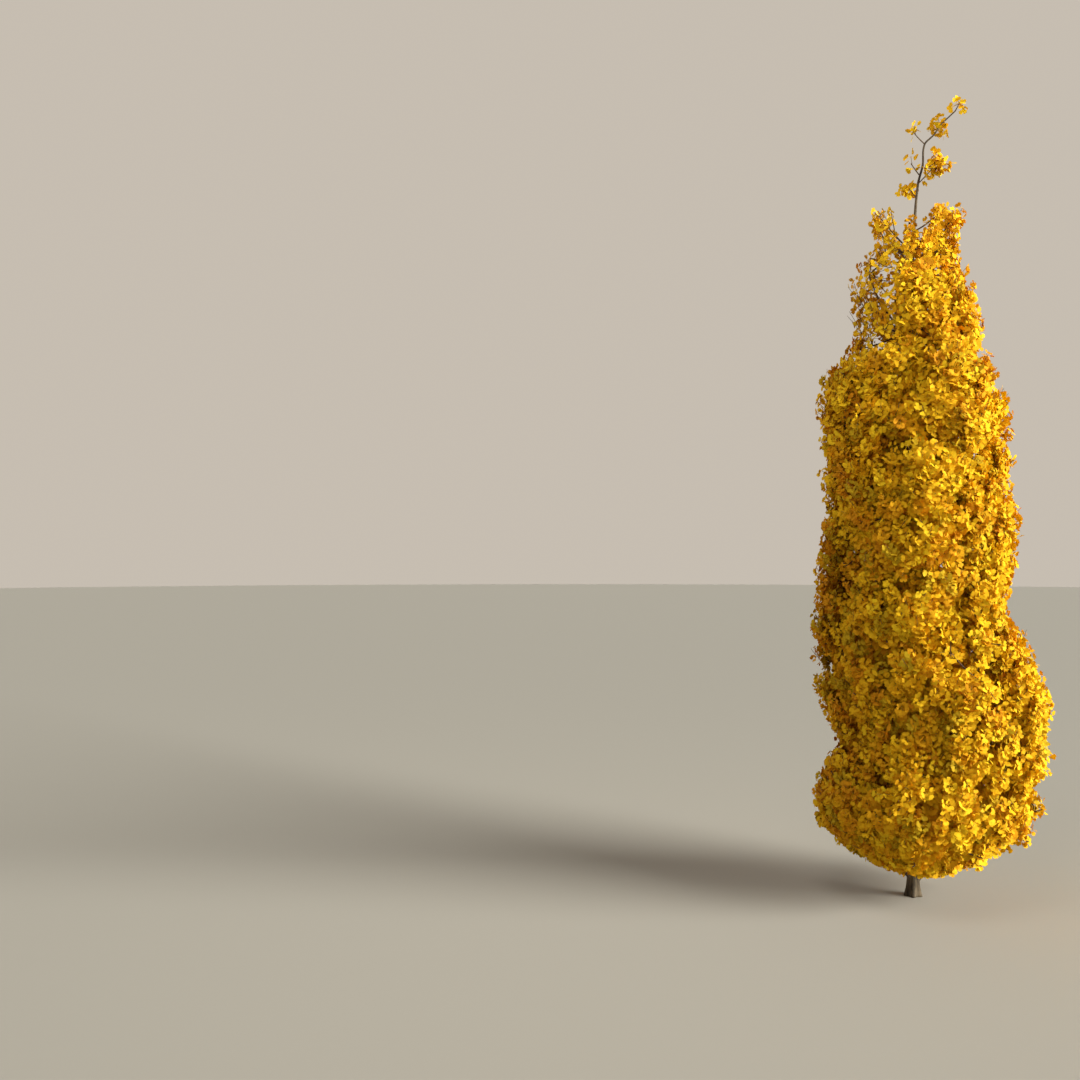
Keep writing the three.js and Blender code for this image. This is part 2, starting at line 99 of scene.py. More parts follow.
# Crown outline: how far the leaf tips reach from the trunk at heights, on the two sides
REACH_NARROW = np.array([
    (0.090, 0.040), (0.240, 0.330), (0.420, 0.515), (0.820, 0.435), (1.080, 0.480), (1.480, 0.470),
    (2.000, 0.450), (2.300, 0.445), (2.620, 0.415), (2.830, 0.270), (3.180, 0.275), (3.300, 0.185),
    (3.440, 0.225), (3.560, 0.060),
])
REACH_WIDE = np.array([
    (0.090, 0.040), (0.240, 0.490), (0.420, 0.605), (0.820, 0.630), (1.080, 0.620), (1.480, 0.520),
    (2.000, 0.495), (2.300, 0.480), (2.620, 0.425), (2.830, 0.372), (3.180, 0.245), (3.300, 0.205),
    (3.440, 0.245), (3.560, 0.080),
])

# Lumps in the outline: how many round it, how deep and high they are, and the most that leaves follow
LUMPS = (3, 5)
LUMP_DEPTH = 0.045
LUMP_HEIGHT = 0.230
LUMP_MOST = 0.010

# How far leaves and the tips of twigs stay above the ground
GROUND_CLEAR = 0.025
TIP_GROUND_CLEAR = 0.050

# Where the masses sit: the share of the reach, the flattening of their spaces, the trunk's channel
SITE_SHARE = 0.56
CELL_HEIGHT_SCALE = 0.8
CHANNEL_SHARE = 0.29
CHANNEL_CLEAR = 0.009

# Boughs and stems
BOUGH_RISE = 0.250
BOUGH_LOWEST = 0.042
BOUGH_STEP = 0.012
BOUGH_TIP_DROP = 0.120
BOUGH_TIP_INSET = 0.016
BOUGH_BEND_SHARE = 0.45
BOUGH_BEND_OUT = 0.2
BOUGH_BASE_SHARE = 0.46
BOUGH_BASE_EXTRA = 0.003
BOUGH_TIP_SHARE = 0.62
STEM_BASE_SHARE = 0.96
STEM_TIP_RADIUS = 0.0045
STEM_TOP_RISE = 0.150
STEM_TOP_OUT = 0.1
STEM_BEND = 0.090
TRUNK_STEM_DROP = 0.130
TRUNK_STEM_RISE = 0.080
SPRAY_STEM_RADII = (0.003, 0.0022)
SPRAY_STEM_BOW = 0.004

# Twigs by the rule of the solids
TWIG_FROM = (0.2, 0.85)
SPRAY_TWIG_FROM = (0.7, 0.95)
TWIG_TRIES = 260
TIP_CLEAR_SHARE = 0.3
TIP_LEAST_SHARE = 0.33
LEAF_ROOM_SHARE = 0.42
EVEN_STEPS = (0.7548776662, 0.569840291)
LEAVES_PER_TWIG = 3
CORE_CORNERS = 42
MASS_SEED = 1001
MASS_SEED_STEP = 97

# Where the crown's edge is loose, with sky between its leaves: the narrow flank, and the top, by side
LOOSE_DEPTH = 0.28
LOOSE_EDGE = 2.3
LOOSE_SIDE = (3.4, 1.45)
FLANK_HEIGHT = 2.98
FLANK_SPAN = 0.30
FLANK_LOOSENESS = 1.3
OPEN_TOP = 3.08
OPEN_TOP_SPAN = 0.18
TOP_LOOSENESS = (0.10, 0.80)

# The highest shoots beside the leader, how much lower they end on the narrow side, and the gap there
CROWN_TOP = 3.460
CROWN_TOP_DROP = 0.010
CROWN_TOP_SADDLE = 0.085
CROWN_TOP_SADDLE_POWER = 3
CROWN_TOP_LEAF = 0.045
LEADER_GAP = 0.050
LEADER_GAP_FROM = (3.33, 3.42)

# Upright plumes in the crown's surface: how many round it, how they wander, and how deep they are
PLUMES = (9, 16)
PLUME_WANDER = 1.3
PLUME_HEIGHTS = (0.37, 0.60)
PLUME_SHARES = (0.6, 0.4)
PLUME_DEPTH = 0.014

# Creases where two masses meet, and notches in the outline: height, half height, depth, azimuth
CREASE_DEPTH = 0.018
CREASE_WIDTH = 0.045
NOTCHES = (
    (0.630, 0.050, 0.065, -18), (0.850, 0.045, 0.110, 162), (1.470, 0.080, 0.045, -18),
    (2.110, 0.070, 0.035, -18), (2.770, 0.050, 0.055, -18), (0.900, 0.050, 0.060, 75),
    (1.250, 0.060, 0.050, -100), (1.760, 0.060, 0.055, 95), (2.300, 0.060, 0.050, -95),
    (2.620, 0.050, 0.055, 85), (0.240, 0.090, 0.035, -18), (0.300, 0.110, 0.115, -55),
)

# How a ray from a mass's site looks for the outline
MARCH_STEP = 0.012
MARCH_MOST = 1.2


@dataclass(frozen=True)
class Tier:
    """One tier of masses round the trunk.

    The first mass stands at the turn, in degrees, and the others evenly on from it, on boughs or
    straight on the trunk. In the solids the dense ones have a core, the leaf is how long their
    leaves are, and the spacing how far apart their twigs end.
    """

    letter: str
    height: float
    count: int
    turn: float
    boughs: bool
    dense: bool
    leaf: float
    spacing: float


@dataclass(frozen=True)
class Spray:
    """One spray of leaves on the bare leader.

    It starts on the leader at one height, and its middle lies at another, to the wide side and at
    a depth across it. The fuller it is, the closer its leaves stand.
    """

    name: str
    start: float
    side: float
    depth: float
    height: float
    reach: float
    fullness: float


# The tiers from the ground up, and the sprays: where each starts on the leader, and where it sits
TIERS = (
    Tier("a", 0.400, 4, 20, True, True, 0.124, 0.240),
    Tier("b", 0.930, 4, 68, True, True, 0.124, 0.240),
    Tier("c", 1.470, 4, 22, True, True, 0.124, 0.240),
    Tier("d", 2.000, 4, 70, True, True, 0.124, 0.240),
    Tier("e", 2.500, 4, 26, True, True, 0.116, 0.206),
    Tier("f", 2.925, 3, 65, False, True, 0.100, 0.165),
    Tier("g", 3.290, 3, 5, False, False, 0.084, 0.156),
)
SPRAYS = (
    Spray("foliage_leader_left", 3.530, -0.022, 0.020, 3.592, 0.062, 1.4),
    Spray("foliage_leader_right", 3.600, 0.110, -0.020, 3.682, 0.084, 1.8),
    Spray("foliage_leader_mid", 3.640, -0.010, -0.015, 3.700, 0.060, 0.5),
    Spray("foliage_fork", 3.798, 0.004, 0.0, 3.858, 0.050, 0.5),
    Spray("foliage_leader_high", 3.841, 0.122, 0.028, 3.888, 0.064, 0.9),
    Spray("foliage_tip", 3.948, 0.220, -0.008, 3.982, 0.062, 0.6),
)
SPRAY_LEAF = 0.058
SPRAY_SPACING = 0.080

NEARLY_ZERO = 1e-12
GOLDEN_ANGLE = math.pi * (3 - math.sqrt(5))


def unit(vectors: np.ndarray) -> np.ndarray:
    """Scales vectors to length one.

    Args:
        vectors: one vector, or a row for each.

    Returns:
        Vectors of length one, with zeros left as they are.
    """
    length = np.linalg.norm(vectors, axis=-1, keepdims=True)
    return vectors / np.maximum(length, NEARLY_ZERO)


def through(knots: np.ndarray, height: np.ndarray) -> np.ndarray:
    """Runs a smooth curve through knots, level beyond the first and last.

    Args:
        knots: rows of height and value.
        height: the heights to read.

    Returns:
        The curve's value at each height.
    """
    at, value = knots[:, 0], knots[:, 1]
    low = np.clip(np.searchsorted(at, height, side="right") - 1, 0, len(at) - 2)
    high = low + 1
    before, after = np.maximum(low - 1, 0), np.minimum(high + 1, len(at) - 1)
    span = at[high] - at[low]
    t = np.clip((height - at[low]) / span, 0, 1)
    leaving = (value[high] - value[before]) / (at[high] - at[before]) * span
    arriving = (value[after] - value[low]) / (at[after] - at[low]) * span
    return (
        value[low] * (2 * t**3 - 3 * t**2 + 1)
        + leaving * (t**3 - 2 * t**2 + t)
        + value[high] * (3 * t**2 - 2 * t**3)
        + arriving * (t**3 - t**2)
    )


def axis_at(height: np.ndarray) -> np.ndarray:
    """Finds the trunk's axis.

    Args:
        height: one height or many.

    Returns:
        A point for each height.
    """
    height = np.asarray(height, float)
    lean = through(TRUNK_LEAN, height)
    rising = np.minimum(height / TRUNK_SWAY_LENGTH, 1)
    sway = TRUNK_SWAY * rising**2 * np.sin(height / TRUNK_SWAY_LENGTH)
    x = lean * math.cos(WIDE_SIDE) - sway * math.sin(WIDE_SIDE)
    y = lean * math.sin(WIDE_SIDE) + sway * math.cos(WIDE_SIDE)
    return np.stack([x, y, height], axis=-1)


def reach_at(height: np.ndarray, azimuth: np.ndarray, most: float = math.inf) -> np.ndarray:
    """Finds how far the crown reaches from the trunk.

    Args:
        height: one height or many.
        azimuth: the directions from the trunk, in radians.
        most: the most that a lump stands out, as a share of the reach.

    Returns:
        The reach in each, which is zero above and below the crown.
    """
    wide, narrow = through(REACH_WIDE, height), through(REACH_NARROW, height)
    plain = (wide + narrow) / 2 + (wide - narrow) / 2 * np.cos(azimuth - WIDE_SIDE)
    drift = height / LUMP_HEIGHT
    lumps = np.sin(LUMPS[0] * azimuth + drift) + np.sin(LUMPS[1] * azimuth - drift)
    inside = (height >= REACH_WIDE[0, 0]) & (height <= REACH_WIDE[-1, 0])
    return np.where(inside, plain * (1 + np.minimum(LUMP_DEPTH * lumps, most)), 0)


def around(points: np.ndarray) -> tuple[np.ndarray, np.ndarray]:
    """Finds where points lie round the trunk.

    Args:
        points: a row for each point, or one point.

    Returns:
        The azimuth and the distance of each from the trunk's axis at its height.
    """
    away = points - axis_at(points[..., 2])
    return np.arctan2(away[..., 1], away[..., 0]), np.hypot(away[..., 0], away[..., 1])


def narrowness(points: np.ndarray) -> np.ndarray:
    """Tells how far points lie to the crown's narrow side.

    Args:
        points: a row for each point.

    Returns:
        For each, 0 on the wide side to 1 on the narrow side.
    """
    return (1 - np.cos(around(points)[0] - WIDE_SIDE)) / 2


def plume(points: np.ndarray) -> np.ndarray:
    """Reads the upright plumes that the boughs' growth leaves in the crown's surface.

    Args:
        points: a row for each point.

    Returns:
        For each, 1 on a plume to -1 in the furrow between two.
    """
    azimuth, _ = around(points)
    drift = PLUME_WANDER * np.sin(points[:, 2] / PLUME_HEIGHTS[0])
    broad = np.sin(PLUMES[0] * azimuth + drift)
    fine = np.sin(PLUMES[1] * azimuth - drift + points[:, 2] / PLUME_HEIGHTS[1])
    return PLUME_SHARES[0] * broad + PLUME_SHARES[1] * fine


def arc_points(start: np.ndarray, bend: np.ndarray, end: np.ndarray, share: np.ndarray) -> np.ndarray:
    """Reads a quadratic arc.

    Args:
        start: where it begins.
        bend: the point that it bends towards.
        end: where it ends.
        share: shares of its length, from 0 to 1.

    Returns:
        A point for each share.
    """
    t = np.asarray(share, float)[..., None]
    return start * (1 - t) ** 2 + 2 * bend * t * (1 - t) + end * t**2


def places_on(points: np.ndarray, at: np.ndarray, share: np.ndarray) -> np.ndarray:
    """Reads places on a line of points.

    Args:
        points: a row for each point.
        at: how far along the line each point lies, as a share.
        share: how far along it the places lie.

    Returns:
        A row for each place.
    """
    return np.stack([np.interp(share, at, column) for column in points.T], axis=-1)


# The word, step and mixer of the solids' random numbers
WORD = 0xFFFFFFFF
DRAW_STEP = 0x6D2B79F5
DRAW_MIX = 61


class Draws:
    """Random numbers from 0 to 1, the same as in the solids' rule."""

    def __init__(self, seed: int) -> None:
        """Starts the row of numbers at a seed."""
        self.state = seed & WORD

    def next(self) -> float:
        """Draws the next number.

        Returns:
            A number from 0 up to 1.
        """
        self.state = (self.state + DRAW_STEP) & WORD
        mixed = (self.state ^ (self.state >> 15)) * (1 | self.state) & WORD
        spread = (mixed ^ (mixed >> 7)) * (DRAW_MIX | mixed) & WORD
        mixed = ((mixed + spread) & WORD) ^ mixed
        return (mixed ^ (mixed >> 14)) / (WORD + 1)


@dataclass
class Mass:
    """The space of one mass of foliage, and the limb that carries it."""

    name: str
    site: np.ndarray
    outward: np.ndarray
    reach: float
    leaf: float
    spacing: float
    dense: bool
    height: float
    spray: bool = False
    fullness: float = 1.0
    bough: tuple[np.ndarray, np.ndarray, np.ndarray] | None = None
    stem: tuple[np.ndarray, np.ndarray, np.ndarray] | None = None
    start: np.ndarray | None = None
    base_radius: float = 0.0
    # The planes round its space, whose normals point inwards
    normals: np.ndarray = field(default_factory=lambda: np.zeros((0, 3)))
    offsets: np.ndarray = field(default_factory=lambda: np.zeros(0))

    def outline_room(self, points: np.ndarray, most: float = math.inf) -> np.ndarray:
        """Measures how far points lie inside the crown's outline.

        Args:
            points: a row for each point.
            most: the most that a lump of the outline stands out, as a share of the reach.

        Returns:
            The room at each point, negative outside.
        """
        if self.spray:
            return self.reach - np.linalg.norm(points - self.site, axis=-1)
        azimuth, distance = around(points)
        return reach_at(points[..., 2], azimuth, most) - distance

    def looseness(self, points: np.ndarray) -> np.ndarray:
        """Tells how open the crown's edge is at points: high on the narrow flank, and at the top.

        Args:
            points: a row for each point.

        Returns:
            The looseness at each, from 0 to 1.
        """
        steep, least = LOOSE_SIDE
        narrow = np.clip(steep * narrowness(points) - least, 0, 1)
        edge = np.clip(LOOSE_EDGE * (1 - self.outline_room(points) / LOOSE_DEPTH), 0, 1)
        rise = (points[:, 2] - FLANK_HEIGHT) / FLANK_SPAN
        flank = FLANK_LOOSENESS * np.exp(-(rise**2)) * narrow
        wide_top, narrow_top = TOP_LOOSENESS
        top = np.clip((points[:, 2] - OPEN_TOP) / OPEN_TOP_SPAN, 0, 1)
        return np.clip((flank + top * (wide_top + (narrow_top - wide_top) * narrow)) * edge, 0, 1)

    def below_top(self, points: np.ndarray, spare: float = 0.0) -> np.ndarray:
        """Tells which points lie below the top of the crown, which only the leader's sprays pass.

        Args:
            points: a row for each point.
            spare: how much higher a point may lie.

        Returns:
            Whether each does.
        """
        if self.spray:
            return np.ones(len(points), bool)
        narrow = narrowness(points)
        saddle = CROWN_TOP_SADDLE * (4 * narrow * (1 - narrow)) ** CROWN_TOP_SADDLE_POWER
        return points[:, 2] < CROWN_TOP - CROWN_TOP_DROP * narrow - saddle + spare

    def cell_room(self, points: np.ndarray) -> np.ndarray:
        """Measures how far points lie inside the mass's own space.

        Args:
            points: a row for each point.

        Returns:
            The room at each point, negative outside.
        """
        return (points @ self.normals.T - self.offsets).min(axis=-1)

    def hollow(self, points: np.ndarray) -> np.ndarray:
        """Measures how much lower the crown's surface lies than its plain outline.

        Args:
            points: a row for each point.

        Returns:
            The depth at each, in the creases, the notches and the furrows between plumes.
        """
        creases = CREASE_DEPTH * np.exp(-((np.maximum(self.cell_room(points), 0) / CREASE_WIDTH) ** 2))
        depth = creases - PLUME_DEPTH * plume(points)
        azimuth, _ = around(points)
        for height, half, deep, side in NOTCHES:
            facing = np.clip(np.cos(azimuth - math.radians(side)), 0, 1) ** 2
            depth += deep * facing * np.exp(-(((points[:, 2] - height) / half) ** 2))
        return depth

    def march(self, directions: np.ndarray, depth: np.ndarray, most: float = math.inf) -> np.ndarray:
        """Goes out from the site until the outline is a depth away.

        Args:
            directions: a row for each ray.
            depth: how far below the outline each ray stops.
            most: the most that a lump of the outline stands out, as a share of the reach.

        Returns:
            The length of each ray.
        """
        length = np.zeros(len(directions))
        going = np.ones(len(directions), bool)
        while going.any():
            points = self.site + directions[going] * length[going, None]
            inside = self.outline_room(points, most) > depth[going]
            inside &= (points[:, 2] > GROUND_CLEAR) & (length[going] < MARCH_MOST)
            still = np.flatnonzero(going)[inside]
            going[:] = False
            going[still] = True
            length[still] += MARCH_STEP
        return length


def bough_radius(height: float) -> float:
    """Gives a bough's radius where it leaves the trunk.

    Args:
        height: the height of its mass's site.

    Returns:
        The radius.
    """
    return float(through(TRUNK_RADIUS, height)) * BOUGH_BASE_SHARE + BOUGH_BASE_EXTRA


class CrownPlan:
    """The spaces of all masses, by the rule that their solids follow."""

    def __init__(self) -> None:
        """Places the masses and divides the crown among them."""
        self.masses = [*self.tier_masses(), *self.spray_masses()]
        self.add_cells()

    def tier_masses(self) -> list[Mass]:
        """Places the masses round the trunk, with their boughs and stems.

        Returns:
            The masses, from the ground up.
        """
        masses = []
        for tier in TIERS:
            for k in range(tier.count):
                azimuth = math.radians(tier.turn + 360 / tier.count * k)
                outward = np.array([math.cos(azimuth), math.sin(azimuth), 0])
                reach = float(reach_at(tier.height, azimuth))
                axis = axis_at(tier.height)
                site = axis + outward * reach * SITE_SHARE
                name = f"foliage_{tier.letter}{k + 1}"
                mass = Mass(name, site, outward, reach, tier.leaf, tier.spacing, tier.dense, tier.height)
                mass.base_radius = bough_radius(tier.height) * BOUGH_TIP_SHARE * STEM_BASE_SHARE
                if tier.boughs:
                    channel = reach * CHANNEL_SHARE
                    self.add_bough(mass, channel, k + 1)
                else:
                    channel = float(through(TRUNK_RADIUS, tier.height)) + CHANNEL_CLEAR
                    foot = axis_at(tier.height - TRUNK_STEM_DROP)
                    top = site + outward * reach * STEM_TOP_OUT + np.array([0, 0, TRUNK_STEM_RISE])
                    mass.stem = (foot, (foot + top) / 2, top)
                inner = axis + outward * channel
                mass.normals = outward[None]
                mass.offsets = np.array([outward @ inner])
                masses.append(mass)
        return masses

    def add_bough(self, mass: Mass, channel: float, number: int) -> None:
        """Gives a mass its bough and the stem that goes on from it.

        Args:
            mass: the mass.
            channel: how far its inner limit lies from the trunk's axis.
            number: its number in the tier, which sets how low the lowest boughs start.
        """
        tip_height = mass.height - BOUGH_TIP_DROP
        foot = axis_at(max(tip_height - BOUGH_RISE, BOUGH_LOWEST + BOUGH_STEP * number))
        tip = axis_at(tip_height) + mass.outward * (channel - BOUGH_TIP_INSET)
        bend = foot + (tip - foot) * BOUGH_BEND_SHARE + mass.outward * channel * BOUGH_BEND_OUT
        mass.bough = (foot, bend, tip)
        along = unit(tip - bend)
        top = mass.site + mass.outward * mass.reach * STEM_TOP_OUT + np.array([0, 0, STEM_TOP_RISE])
        mass.stem = (tip, tip + along * STEM_BEND, top)

    def spray_masses(self) -> list[Mass]:
        """Places the sprays on the bare leader.

        Returns:
            The sprays, from the lowest up.
        """
        masses = []
        cosine, sine = math.cos(WIDE_SIDE), math.sin(WIDE_SIDE)
        for spray in SPRAYS:
            x = spray.side * cosine - spray.depth * sine
            y = spray.side * sine + spray.depth * cosine
            site, start = np.array([x, y, spray.height]), axis_at(spray.start)
            outward = unit((site - start) * np.array([1, 1, 0]))
            mass = Mass(
                spray.name, site, outward, spray.reach, SPRAY_LEAF, SPRAY_SPACING, False, spray.height,
                True, spray.fullness,
            )
            bow = (start + site) / 2 + outward * SPRAY_STEM_BOW
            mass.start, mass.stem, mass.base_radius = start, (start, bow, site), SPRAY_STEM_RADII[0]
            masses.append(mass)
        return masses

    def add_cells(self) -> None:
        """Gives each mass the planes halfway to every other site."""
        scale = np.array([1, 1, CELL_HEIGHT_SCALE])
        for mass in self.masses:
            for other in self.masses:
                if other is mass:
                    continue
                normal = unit((mass.site - other.site) * scale * scale)
                mass.normals = np.vstack([mass.normals, normal])
                mass.offsets = np.append(mass.offsets, normal @ (mass.site + other.site) / 2)


def linear(hex_colour: str) -> tuple[float, float, float, float]:
    """Turns an sRGB colour to linear.

    Args:
        hex_colour: six hex digits after a hash.

    Returns:
        Red, green, blue and an alpha of one.
    """
    parts = [int(hex_colour[i : i + 2], 16) / 255 for i in (1, 3, 5)]
    red, green, blue = (c / 12.92 if c <= 0.04045 else ((c + 0.055) / 1.055) ** 2.4 for c in parts)
    return red, green, blue, 1.0


def add_node(
    tree: bpy.types.NodeTree, kind: str, settings: dict | None = None, **links: object
) -> bpy.types.Node:
    """Adds a node with its settings, and feeds its inputs.

    Args:
        tree: the node tree.
        kind: the node's type.
        settings: its properties.
        **links: an input's name, with underscores for spaces, and the output or value that feeds it.

    Returns:
        The node.
    """
    node = tree.nodes.new(kind)
    for name, value in (settings or {}).items():
        setattr(node, name, value)
    for name, source in links.items():
        wanted = name.replace("_", " ")
        socket = next(s for s in node.inputs if s.name == wanted and s.enabled)
        if isinstance(source, bpy.types.NodeSocket):
            tree.links.new(source, socket)
        else:
            socket.default_value = source
    return node


class Tint(Enum):
    """The autumn tints of the leaves, each with its colour and the record's slot."""

    LEMON = ("#F3CA24", "leaf_lemon")
    YELLOW = ("#F0C120", "leaf_yellow")
    GOLD = ("#EDB91E", "leaf_gold")
    AMBER = ("#E6AA1C", "leaf_amber")
    ORANGE = ("#DE9B1C", "leaf_amber")
    OLIVE = ("#CDA921", "leaf_olive")


@dataclass(frozen=True)
class LeafFinish:
    """An autumn ginkgo leaf, smooth with a dull wax, which gives the eye an even, almost matt gold."""

    tint: Tint
    roughness: float = 0.66
    gloss: float = 0.06

    def material(self) -> bpy.types.Material:
        """Makes the leaf's material, whose colour is plain because the tint is dealt out by spray.

        Returns:
            The material.
        """
        made = bpy.data.materials.new(f"waxy_ginkgo_leaf_{self.tint.name.lower()}")
        made.use_nodes = True
        leaf = made.node_tree.nodes["Principled BSDF"]
        leaf.inputs["Base Color"].default_value = linear(self.tint.value[0])
        leaf.inputs["Roughness"].default_value = self.roughness
        leaf.inputs["Specular IOR Level"].default_value = self.gloss
        return made


@dataclass(frozen=True)
class BarkFinish:
    """Ginkgo bark, corky and split as the limb grows: matt grey-brown ridges over dark furrows, whose
    darkness is partly the bark's own colour and partly painted shade in the splits.
    """

    name: str
    ridge: str
    furrow: str
    furrow_width: float
    bump: float
    roughness: float = 0.85
    # The grain: how it is drawn out along the height, and how broken it is
    stretch: float = 0.16
    furrow_detail: float = 6.0
    furrow_roughness: float = 0.62
    # The mottling, in patches of about 45 mm
    mottle_width: float = 1 / 22
    mottle_detail: float = 3.0
    mottle_share: float = 0.35
    # The levels of the mixed noise where the dark furrows, partly painted shade, end and the light ridges
    # start
    furrow_ends: float = 0.52
    ridge_starts: float = 0.84
    bump_strength: float = 0.6

    def material(self) -> bpy.types.Material:
        """Makes the bark's material: furrows run along the height, with mottling over them.

        The stretched noise gives the eye the bark's upright grain, and the mottling its weathered
        patches of light and dark. The furrows, which the same noise sinks, are dark partly in the
        bark's own colour and partly as painted shade.

        Returns:
            The material.
        """
        made = bpy.data.materials.new(self.name)
        made.use_nodes = True
        tree = made.node_tree
        bark = tree.nodes["Principled BSDF"]
        place = add_node(tree, "ShaderNodeTexCoord").outputs["Object"]
        stretched = add_node(tree, "ShaderNodeMapping", Vector=place, Scale=(1, 1, self.stretch))
        furrows = add_node(
            tree, "ShaderNodeTexNoise", Vector=stretched.outputs[0], Scale=1 / self.furrow_width,
            Detail=self.furrow_detail, Roughness=self.furrow_roughness,
        )
        mottle = add_node(
            tree, "ShaderNodeTexNoise", Vector=place, Scale=1 / self.mottle_width, Detail=self.mottle_detail
        )
        mixed = add_node(tree, "ShaderNodeMath", {"operation": "MULTIPLY_ADD"})
        tree.links.new(mottle.outputs["Fac"], mixed.inputs[0])
        mixed.inputs[1].default_value = self.mottle_share
        tree.links.new(furrows.outputs["Fac"], mixed.inputs[2])
        ramp = add_node(tree, "ShaderNodeValToRGB", Fac=mixed.outputs[0])
        # The dark furrow colour goes where the bump sinks the surface: partly the bark's own colour, partly
        # painted shade
        stops = ((self.furrow_ends, self.furrow), (self.ridge_starts, self.ridge))
        for stop, (position, colour) in zip(ramp.color_ramp.elements, stops):
            stop.position, stop.color = position, linear(colour)
        tree.links.new(ramp.outputs["Color"], bark.inputs["Base Color"])
        bark.inputs["Roughness"].default_value = self.roughness
        relief = add_node(
            tree, "ShaderNodeBump", Height=furrows.outputs["Fac"], Strength=self.bump_strength,
            Distance=self.bump,
        )
        tree.links.new(relief.outputs["Normal"], bark.inputs["Normal"])
        return made


def new_object(name: str, data: bpy.types.ID) -> bpy.types.Object:
    """Puts an object into the scene.

    Args:
        name: the object's name.
        data: the mesh, lamp or camera that it holds.

    Returns:
        The object.
    """
    made = bpy.data.objects.new(name, data)
    bpy.context.scene.collection.objects.link(made)
    return made


def mesh_object(name: str, points: np.ndarray, faces: list) -> bpy.types.Object:
    """Makes an object of points and faces.

    Args:
        name: the object's name.
        points: a row for each vertex.
        faces: the corners of each face.

    Returns:
        The object, in the scene.
    """
    mesh = bpy.data.meshes.new(name)
    mesh.from_pydata(points.tolist(), [], [list(map(int, face)) for face in faces])
    mesh.shade_smooth()
    return new_object(name, mesh)


@dataclass
class BarkedLimb:
    """A round limb along a path, with ridges and furrows of bark in its surface.

    The furrows wander along the limb, a second set forks off the first, and cracks run across both.
    """

    path: np.ndarray
    radii: np.ndarray
    sides: int
    ridges: int
    relief: float
    phase: float = 0.0
    # The lobes of a root flare, which fade with height
    lobes: int = 0
    lobe_depth: float = 0.0
    lobe_height: float = 1.0
    # How far and how fast the furrows wander, how others fork off, and how often cracks cross them
    furrow_wander: tuple[tuple[float, float], ...] = ((0.9, 17), (0.5, 41))
    fork_turn: float = 1.3
    fork_wander: float = 1.7
    crack_rate: float = 140.0
    crack_wander: float = 3.0
    # How much and how broadly each shows, and the level of the plain radius
    furrow_share: float = 0.7
    furrow_power: float = 0.6
    fork_share: float = 0.5
    fork_power: float = 0.5
    crack_share: float = 0.15
    bark_level: float = 0.9
    # The share of the relief that the thinnest wood keeps
    thin_bark: float = 0.25

    def surface(self) -> tuple[np.ndarray, list[tuple[int, ...]]]:
        """Works out the limb's skin, closed at both ends.

        Returns:
            The points and the faces.
        """
        tangent = unit(np.gradient(self.path, axis=0))
        across = unit(np.cross(tangent, np.array([0.0, 1.0, 0.0])))
        outward = np.cross(tangent, across)
        run = np.concatenate([[0], np.cumsum(np.linalg.norm(np.diff(self.path, axis=0), axis=1))])
        angle = np.linspace(0, 2 * math.pi, self.sides, endpoint=False)
        turn, along = np.meshgrid(angle, run)
        wander = sum(
            far * np.sin(along * fast + (k + 1) * self.phase)
            for k, (far, fast) in enumerate(self.furrow_wander)
        )
        turned = self.ridges / 2 * turn
        forked = turned + self.fork_turn + self.fork_wander * wander + np.sin(2 * turn)
        furrow = np.abs(np.sin(turned + wander)) ** self.furrow_power
        fork = np.abs(np.sin(forked)) ** self.fork_power
        crossing = along * self.crack_rate + self.crack_wander * np.sin(3 * turn + self.phase)
        cracks = (1 + np.sin(crossing)) / 2
        shape = self.furrow_share * furrow + self.fork_share * fork + self.crack_share * cracks
        depth = self.relief * np.minimum(1, self.radii / self.radii.max() + self.thin_bark)[:, None]
        skin = depth * (shape - self.bark_level)
        flare = self.lobe_depth * np.exp(-along / self.lobe_height) * np.cos(self.lobes * turn)
        radius = self.radii[:, None] * (1 + flare) + skin
        points = (
            self.path[:, None]
            + across[:, None] * (np.cos(turn) * radius)[..., None]
            + outward[:, None] * (np.sin(turn) * radius)[..., None]
        ).reshape(-1, 3)
        rings = len(self.path)
        faces = []
        for ring in range(rings - 1):
            low, high = ring * self.sides, (ring + 1) * self.sides
            for side in range(self.sides):
                next_side = (side + 1) % self.sides
                faces.append((low + side, low + next_side, high + next_side, high + side))
        faces.append(tuple(range(self.sides - 1, -1, -1)))
        faces.append(tuple((rings - 1) * self.sides + side for side in range(self.sides)))
        return points, faces


def outward_faces(made: bpy.types.Object) -> None:
    """Turns an object's faces outward.

    Args:
        made: a closed mesh object.
    """
    shape = bmesh.new()
    shape.from_mesh(made.data)
    bmesh.ops.recalc_face_normals(shape, faces=shape.faces[:])
    shape.to_mesh(made.data)
    shape.free()


@dataclass
class Trunk:
    """The trunk, from the flat cut over its root flare to the tip of the leader."""

    sides: int = 60
    ring_step: float = 0.009
    ridges: int = 22
    relief: float = 0.0016
    root_lobes: int = 5
    root_lobe_depth: float = 0.16
    root_lobe_height: float = 0.070

    def build(self, finish: BarkFinish) -> bpy.types.Object:
        """Makes the trunk's mesh and dresses it.

        Args:
            finish: its bark.

        Returns:
            The trunk.
        """
        heights = np.linspace(0, TRUNK_TIP, int(TRUNK_TIP / self.ring_step))
        limb = BarkedLimb(
            axis_at(heights), through(TRUNK_RADIUS, heights), self.sides, self.ridges, self.relief,
            lobes=self.root_lobes, lobe_depth=self.root_lobe_depth, lobe_height=self.root_lobe_height,
        )
        points, faces = limb.surface()
        # The cut at the ground is flat
        points[: self.sides, 2] = 0
        made = mesh_object("trunk_bark", points, faces)
        outward_faces(made)
        made.data.materials.append(finish.material())
        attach(made, "root")
        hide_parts("trunk")
        return made


